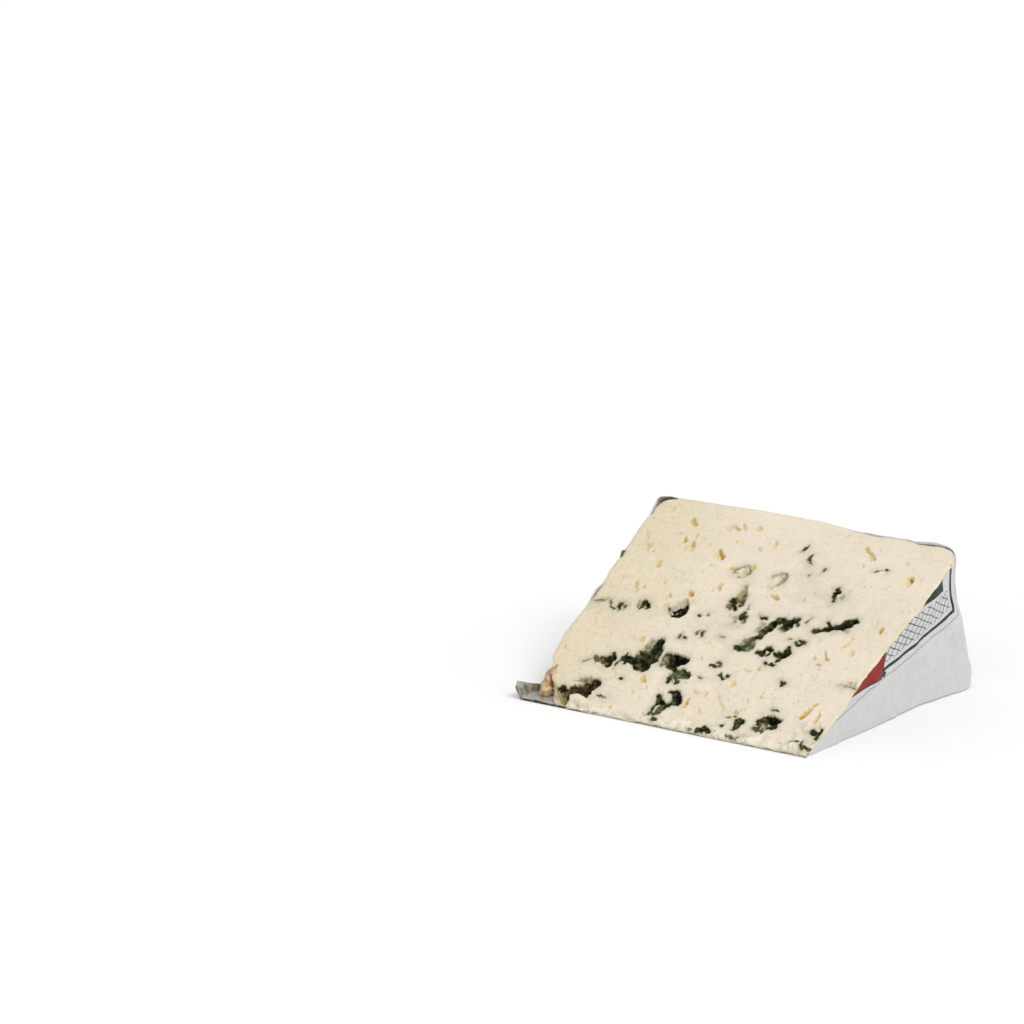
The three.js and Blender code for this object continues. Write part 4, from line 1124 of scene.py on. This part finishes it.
# Where the foil's edge is painted dark, as shade: along the axis, out from it, up and reach
PAINTED_SHADE_PLACES = [(-52, 85, 49, 5.5), (-54, 60, 33, 3), (-55, 1, 2.5, 2.4)]
# Where foil stands off the cheese more, at its rear right corner: its place, reach and height
LOOSE_PLACE, LOOSE_REACH, LOOSE_HEIGHT = (54, 84, 44), 9, 1.1
# How the walls turn in to the base: the height and the distance inwards of each ring of the fold
FOLD_RINGS = ((0.45, 0.12), (0.14, 0.45), (0.02, 1.0))
BASE_SHARES = np.linspace(0.97, 0.03, 24)
LEFT_WALL = DISH_LEFT - WHEEL_HEIGHT / 2
# By the broken corner the foil is smooth and leans outwards by so much of its height, over this reach
TIP_LEAN, TIP_REACH = 0.55, 16.0
# Long creases on the printed side, from one end to the other, as places out from the axis and up
CREASES = [(40.9, 14.6, 52.5, 5.5), (28.2, 13.4, 29.6, 7.1), (60, 20, 66, 3), (74, 14, 88, 22)]
CREASE_DEPTH, CREASE_WIDTH = 0.35, 0.8


def make_foil():
    """A bowl of rings: each wall ring turns about the axis from the cut to the ground, raised towards
    the cut by what the foil's edge stands over it, and the base rings close on the middle."""
    stops = skin_stops(0)
    path = np.linspace(stops[4], 0, int(stops[4] / LOOP_STEP))
    across = np.linspace(0, 1, int(WHEEL_HEIGHT / LOOP_STEP))[1:-1]

    def loop(values_on_path):
        first, last = values_on_path[-1], values_on_path[0]
        share = across.reshape(-1, *[1] * (values_on_path.ndim - 1))
        return np.concatenate([values_on_path, first + (last - first) * share])

    rise = loop(foil_edge(path, 0))
    front_wave = sum(height * noise(across * count, 0.0, seed=seed) for count, height, seed in FRONT_WAVES)
    bare = smoothstep(FRONT_BARE + 5, FRONT_BARE, across * FACE_ACROSS)
    rise[len(path) :] = (FRONT_FOLD + front_wave) * np.maximum(bare, 0.15)
    tucked = np.append(np.zeros(len(path)), FRONT_TUCK * (1 - bare) * np.minimum(1, (1 - across) * 30))
    rise /= math.cos(WEDGE_ANGLE)
    rings, facing = [], []
    for share in np.linspace(1, 0, WALL_RINGS):
        points, normals = skin(path, WEDGE_ANGLE * share, 0)
        ring = loop(points)
        ring[:, 1] += tucked
        ring[:, 2] += rise * share**1.5
        outward = loop(normals)
        outward[len(path) :] = (0, -1, 0)
        rings.append(ring)
        facing.append(outward)
    rings, facing = np.array(rings), np.array(facing)
    stand = creased(rings)
    stand += LOOSE_HEIGHT * np.exp(-3 * (np.linalg.norm(rings - LOOSE_PLACE, axis=-1) / LOOSE_REACH) ** 2)
    calm = bell(np.hypot(rings[..., 0] - LEFT_WALL, rings[..., 1]), TIP_REACH)
    stand *= 1 - 0.8 * calm * (facing[..., 0] < -0.5)
    flat_side = facing[..., 0] > 0.9
    for crease in CREASES:
        share, away = to_line(rings[..., 1], rings[..., 2], *crease)
        stand -= CREASE_DEPTH * flat_side * bell(away, CREASE_WIDTH) * np.sin(math.pi * share)
    front = facing[..., 1] < -0.9
    rings += facing * np.where(front, 0.0, np.maximum(stand, 0.02))[..., None]
    too_high = np.maximum(rings[0, :, 2] - TOP_LIMIT, 0)
    rings[..., 2] -= too_high * np.linspace(1, 0, WALL_RINGS)[:, None] ** 1.5
    middle = np.array([0, WHEEL_RADIUS / 2, 0])
    inward = (middle - rings[-1]) / np.linalg.norm(middle - rings[-1], axis=-1)[:, None]
    ground = rings[-1] * (1, 1, 0)
    low = [ground + inward * step + np.array([0, 0, height]) for height, step in FOLD_RINGS]
    rings[-1, :, 2] = 1.1 * np.minimum(1, rings[-2, :, 2] / 1.5)
    flat_ring = low[-1] * (1, 1, 0)
    base = [middle + (flat_ring - middle) * share for share in BASE_SHARES]
    wall_and_fold = np.concatenate([rings, low])
    away = np.hypot(wall_and_fold[..., 0] - LEFT_WALL, wall_and_fold[..., 1]) / TIP_REACH
    lean = TIP_LEAN * wall_and_fold[..., 2] * np.sqrt(np.clip(1 - away, 0, 1))
    wall_and_fold[..., 0] -= lean
    wall_and_fold[..., 1] += FRONT_INSIDE * np.clip(1 - wall_and_fold[..., 1] / FRONT_SQUEEZED, 0, 1)
    points = np.concatenate([wall_and_fold, base])
    ids = np.arange(points.shape[0] * points.shape[1]).reshape(points.shape[:2])
    last = ids[-1]
    fan = np.stack([last, np.full(len(last), ids.size), np.roll(last, -1)], -1)
    corners = np.concatenate([points.reshape(-1, 3), [middle]])
    made = mesh_object("printed_foil", corners, ring_quads(ids), fan)

    label = np.zeros((*points.shape[:2], 3))
    label[: len(rings), : len(path)] = label_place(rings[:, : len(path)], path, stops)
    set_attribute(made, "label", np.concatenate([label.reshape(-1, 3), [[0, 0, 0]]]))
    # stain holds the real stain up to 1, and painted shade from 1 to 2
    set_attribute(made, "stain", np.append(foil_stain_and_shade(points).ravel(), 0))
    sheet = made.modifiers.new("sheet", "SOLIDIFY")
    sheet.thickness = FOIL_THICKNESS / 1000
    sheet.offset = -1
    sheet.use_even_offset = False
    return made


def foil_stain_and_shade(points):
    """How stained the foil is, up to 1, and up to 2 where it is painted dark as shade. A stain bell lies
    round the broken corner, and is weaker on the base. The front fold is painted dark, as shade beneath its
    edge, and so are the painted shade places."""
    x, y, z = np.moveaxis(points, -1, 0)
    stain = bell(np.hypot(x - LEFT_WALL - 3, y - 6), 12) * (0.4 + 0.6 * smoothstep(0.3, 1.5, z))
    stain = np.maximum(stain, 1.9 * bell(y, 0.7) * smoothstep(-53, -49, x) * smoothstep(-20, -27, x))
    for *shade_place, reach in PAINTED_SHADE_PLACES:
        stain = np.maximum(stain, 2 * bell(np.linalg.norm(points - shade_place, axis=-1), reach))
    return stain


# Where the print's corner lies and which way its long border runs, for each face that carries it: on
# the printed side as out from the axis and up, on the outer wall as along the axis and round it, and on
# the plain side as out and up.
PRINT_TILT = math.radians(14.5)
SIDE_CORNER = (81.0, 27.0)
WALL_CORNER = (44.0, 7.5)
PLAIN_CORNER, PLAIN_TILT = (66.0, 7.0), math.radians(-4)
# The top rings of the wall that stay plain, but for the printed side
PLAIN_RINGS = 7


def label_place(rings, path, stops):
    """Place in the print of each point of the walls, as along its long border from the corner and in
    from it, and 1 where there is print: each face's own two coordinates, turned by its tilt. The places
    go two points past the print, so that they don't jump at its edge."""

    def turned(a, b, corner, tilt):
        along, up = corner[0] - a, b - corner[1]
        c, s = math.cos(tilt), math.sin(tilt)
        return np.stack([along * c - up * s, along * s + up * c], -1)

    x, y, z = np.moveaxis(rings, -1, 0)
    places = np.zeros(rings.shape)
    on_left = (path < stops[0] - 1) & (path > 6)
    on_wall = (path > stops[1] + 12) & (path < stops[3] - 9)
    on_right = (path > stops[3] - 9) & (path < stops[4] - 6)
    around = WHEEL_RADIUS * np.arctan2(z, y)
    spots = (
        (on_right, turned(y, z, SIDE_CORNER, PRINT_TILT)),
        (on_wall, turned(x, around, WALL_CORNER, 0.0)),
        (on_left, turned(y, z, PLAIN_CORNER, PLAIN_TILT)),
    )
    for on_face, spot in spots:
        near = np.convolve(on_face, np.ones(5), "same") > 0
        places[:, near, :2] = spot[:, near]
    for on_face, spot in spots:
        places[:, on_face, :2] = spot[:, on_face]
        places[:, on_face, 2] = 1
    places[:PLAIN_RINGS, ~on_right, 2] = 0
    return places


# The print: a border line round a corner with dots outside it, a plain field, a trellis, and a band
# with a dark rim that slopes away from a knot. The slopes are how far each rises for its length.
INK_EDGE = 0.06
BORDER_WIDTH = 1.1
DOT_AWAY, DOT_WIDTH, DOT_PITCH = 2.7, 0.4, 0.9
FIELD_START, FIELD_SLOPE, FIELD_MARGIN = 8.9, 0.08, 4.4
# How far short of the print's end the field stops, and the gap between it and the trellis
FIELD_SHORT, FIELD_GAP = 4.0, 1.0
TRELLIS_PITCH, TRELLIS_STEEPNESS, TRELLIS_LINE, TRELLIS_MARGIN = 3.6, 1.3, 0.5, 1.7
TRELLIS_WANDER = 1.6
BAND_START, BAND_MIDDLE, BAND_HEIGHT, BAND_SLOPE = 39.8, 2.85, 11.0, 0.15
# The band's end leans. Its red core starts and stops short of it, and is this far inside its long edges
BAND_LEAN, CORE_START, CORE_SHORT, BAND_RIM = 0.5, 0.7, 0.6, 0.5
KNOT_INWARD, KNOT_REACH = -1.4, 1.3
PRINT_END = 74.0


def printed_aluminium_foil():
    """Thin aluminium foil on paper, lacquered and printed: a soft grey sheen rather than a mirror, with
    a fine crackle of creases. The inks are opaque: bottle green, a paler drawing line and a red band."""
    material, node = new_material("printed_aluminium_foil")
    place = node("TexCoord").outputs["Object"]
    label = node("Attribute", attribute_name="label").outputs["Vector"]
    along, inward, printed = node("SeparateXYZ", [label]).outputs
    stain = node("Attribute", attribute_name="stain").outputs["Fac"]
    grain = {size: node("TexNoise", [place, per(size), 3.0]) for size in (1.0, 1.2, 1.5, 2, 2.5, 3, 14)}

    def above(value, limit):
        """1 where the value is over the limit, with a soft edge."""
        return node("MapRange", [value, limit - INK_EDGE, limit + INK_EDGE], **SMOOTH)

    def below(value, limit):
        """1 where the value is under the limit, with a soft edge."""
        return node("MapRange", [value, limit + INK_EDGE, limit - INK_EDGE], **SMOOTH)

    def away_from(value, centre):
        """How far the value is from the centre, either way."""
        return node("Math", [node("Math", [value, centre], operation="SUBTRACT")], operation="ABSOLUTE")

    def lines(value, pitch, width):
        """1 on lines of this width, at this pitch."""
        return below(node("Math", [value, pitch / 2], operation="PINGPONG"), width / 2)

    def any_of(shape, *shapes):
        """The greatest of the shapes."""
        for other in shapes:
            shape = node("Math", [shape, other], operation="MAXIMUM")
        return shape

    inside = node("Math", [along, inward], operation="MINIMUM")
    before_band = below(along, BAND_START)
    border = product(node, below(away_from(inside, 0.0), BORDER_WIDTH / 2), before_band)
    end_line = below(away_from(along, PRINT_END), BORDER_WIDTH / 2)
    border = any_of(border, product(node, end_line, above(inward, -BORDER_WIDTH / 2)))
    round_corner = node("Math", [along, inward], operation="SUBTRACT")
    dot_line = below(away_from(inside, -DOT_AWAY), DOT_WIDTH / 2)
    dotted = product(node, dot_line, lines(round_corner, DOT_PITCH, DOT_PITCH / 2))
    field_place = node("Math", [along, -FIELD_SLOPE, inward], operation="MULTIPLY_ADD")
    field = product(node, above(field_place, FIELD_START), above(along, FIELD_MARGIN))
    field = product(node, field, below(along, PRINT_END - FIELD_SHORT))
    wander = node("Math", [grain[3], TRELLIS_WANDER, along], operation="MULTIPLY_ADD")
    slants = []
    for steepness in (TRELLIS_STEEPNESS, -TRELLIS_STEEPNESS):
        slant = node("Math", [inward, steepness, wander], operation="MULTIPLY_ADD")
        slants.append(lines(slant, TRELLIS_PITCH, TRELLIS_LINE))
    trellis = any_of(*slants)
    trellis = product(node, trellis, above(along, TRELLIS_MARGIN), above(inward, TRELLIS_MARGIN))
    trellis = product(node, trellis, below(field_place, FIELD_START - FIELD_GAP), before_band)
    band_along = node("Math", [inward, BAND_LEAN, along], operation="MULTIPLY_ADD")
    past_start = node("Math", [along, BAND_START], operation="SUBTRACT")
    band_place = node("Math", [past_start, -BAND_SLOPE, inward], operation="MULTIPLY_ADD")
    from_middle = away_from(band_place, BAND_MIDDLE)
    ribbon = product(node, above(band_along, BAND_START), below(from_middle, BAND_HEIGHT / 2))
    ribbon = product(node, ribbon, below(along, PRINT_END))
    core = product(node, above(band_along, BAND_START + CORE_START), below(along, PRINT_END - CORE_SHORT))
    core = product(node, core, below(from_middle, BAND_HEIGHT / 2 - BAND_RIM))
    from_knot = [away_from(along, BAND_START), away_from(inward, KNOT_INWARD)]
    from_knot = node("Math", from_knot, operation="ADD")
    dark = any_of(border, field, ribbon, below(from_knot, KNOT_REACH))

    share = ramps(node, [
        ("printed", printed, 0.4, 0.6),
        ("worn", grain[1.0], 0.2, 0.32, 0.7, 1.0),
        ("sheen", grain[2.5], 0.4, 0.7),
        ("stain patches", grain[2], 0.3, 0.65, 0.45, 1.0),
        # Stain over 1 is painted shade: the front fold's edge and the shaded places
        ("dark", stain, 1.0, 1.9),
        ("dark patches", grain[1.5], 0.3, 0.6),
        ("gloss", grain[3], 0.3, 0.7, 0.3, 0.42),
    ])
    stained = node("MapRange", [product(node, stain, share["stain patches"]), 0.0, 0.9], **SMOOTH)
    inked = product(node, share["printed"], share["worn"])
    colour = painted(node, "D2D2D1", [
        (grain[14], "C6C6C6"),
        (share["sheen"], 0.3, "DCDCDC"),
        (stained, "7C7963"),
        # Painted shade, where the stain goes over 1
        (share["dark"], share["dark patches"], "30312B"),
        (any_of(trellis, dotted), inked, "424D46"),
        (dark, inked, "162E22"),
        (core, inked, "8F1B19"),
    ])

    cells = node("TexVoronoi", {"Vector": place, "Scale": per(7)}, feature="DISTANCE_TO_EDGE")
    crackle = node("MapRange", [cells.outputs["Distance"], 0.0, 0.06], **SMOOTH)
    soft = node("TexNoise", [place, per(5), 4.0])
    soft = node("Math", [grain[1.2], 0.3, soft], operation="MULTIPLY_ADD")
    height = node("Math", [crackle, 0.25, soft], operation="MULTIPLY_ADD")
    dulled = product(node, dark, inked)
    shader = node("BsdfPrincipled", {
        "Base Color": colour,
        "Metallic": 0.45,
        "Roughness": node("Math", [dulled, 0.12, share["gloss"]], operation="MULTIPLY_ADD"),
        "Normal": node("Bump", {"Height": height, "Strength": 0.5, "Distance": 0.0007}),
    })
    node("OutputMaterial", {"Surface": shader})
    return material


foil = make_foil()
foil.data.materials.append(printed_aluminium_foil())
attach(foil, "root")
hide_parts("foil_wrap")


# The room
# A pale floor and soft studio light, seen from where the photograph was taken.

CAMERA_TURN = math.radians(35.21)
CAMERA_DIP = math.radians(14.62)
CAMERA_BACK, CAMERA_ASIDE, CAMERA_HEIGHT = 1400.0, -44.2, 432.6
CAMERA_FOCUS_PIXELS, PHOTO_PIXELS = 4850.0, 1024


def place_camera():
    aside = np.array([math.cos(CAMERA_TURN), math.sin(CAMERA_TURN), 0])
    ahead = np.array([-math.sin(CAMERA_TURN), math.cos(CAMERA_TURN), 0])
    spot = CAMERA_ASIDE * aside - CAMERA_BACK * ahead + (0, -WHEEL_RADIUS / 2, CAMERA_HEIGHT)
    camera = bpy.data.objects.new("camera", bpy.data.cameras.new("camera"))
    camera.data.sensor_width = 36
    camera.data.lens = CAMERA_FOCUS_PIXELS / PHOTO_PIXELS * camera.data.sensor_width
    camera.data.clip_end = 20
    camera.location = spot / 1000
    camera.rotation_euler = (math.pi / 2 - CAMERA_DIP, 0, CAMERA_TURN)
    bpy.context.scene.collection.objects.link(camera)
    bpy.context.scene.camera = camera


def soft_light(name, azimuth, elevation, softness, strength):
    """A broad studio light that shines from this azimuth and elevation, in degrees. Softness is how wide
    it looks from the wedge, in degrees. Azimuth 0 is in front and 90 at the right."""
    lamp = bpy.data.objects.new(name, bpy.data.lights.new(name, "SUN"))
    lamp.data.angle = math.radians(softness)
    lamp.data.energy = strength
    lamp.rotation_euler = (math.pi / 2 - math.radians(elevation), 0, math.radians(azimuth))
    bpy.context.scene.collection.objects.link(lamp)


place_camera()
soft_light("key", azimuth=75, elevation=50, softness=35, strength=1.15)

# The strength of the even white light from all round, and how far the floor reaches, in metres
STUDIO_STRENGTH, FLOOR_REACH = 0.78, 4.0
world = bpy.data.worlds.new("studio")
world.use_nodes = True
world.node_tree.nodes["Background"].inputs["Color"].default_value = linear("FFFFFF")
world.node_tree.nodes["Background"].inputs["Strength"].default_value = STUDIO_STRENGTH
bpy.context.scene.world = world
bpy.context.scene.view_settings.view_transform = "Standard"

floor = bpy.data.objects.new("floor", bpy.data.meshes.new("floor"))
floor_corners = [(x * FLOOR_REACH, y * FLOOR_REACH, 0) for x, y in ((-1, -1), (1, -1), (1, 1), (-1, 1))]
floor.data.from_pydata(floor_corners, [], [(0, 1, 2, 3)])
bpy.context.scene.collection.objects.link(floor)
paint, paint_node = new_material("matt_white_paint")
matt = paint_node("BsdfPrincipled", {"Base Color": "FAFAFA", "Roughness": 0.9})
paint_node("OutputMaterial", {"Surface": matt})
floor.data.materials.append(paint)
floor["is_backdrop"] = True

boxes = {"cad": cad_box, "visual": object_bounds()}
{name: [list(corner) for corner in box] for name, box in boxes.items()}
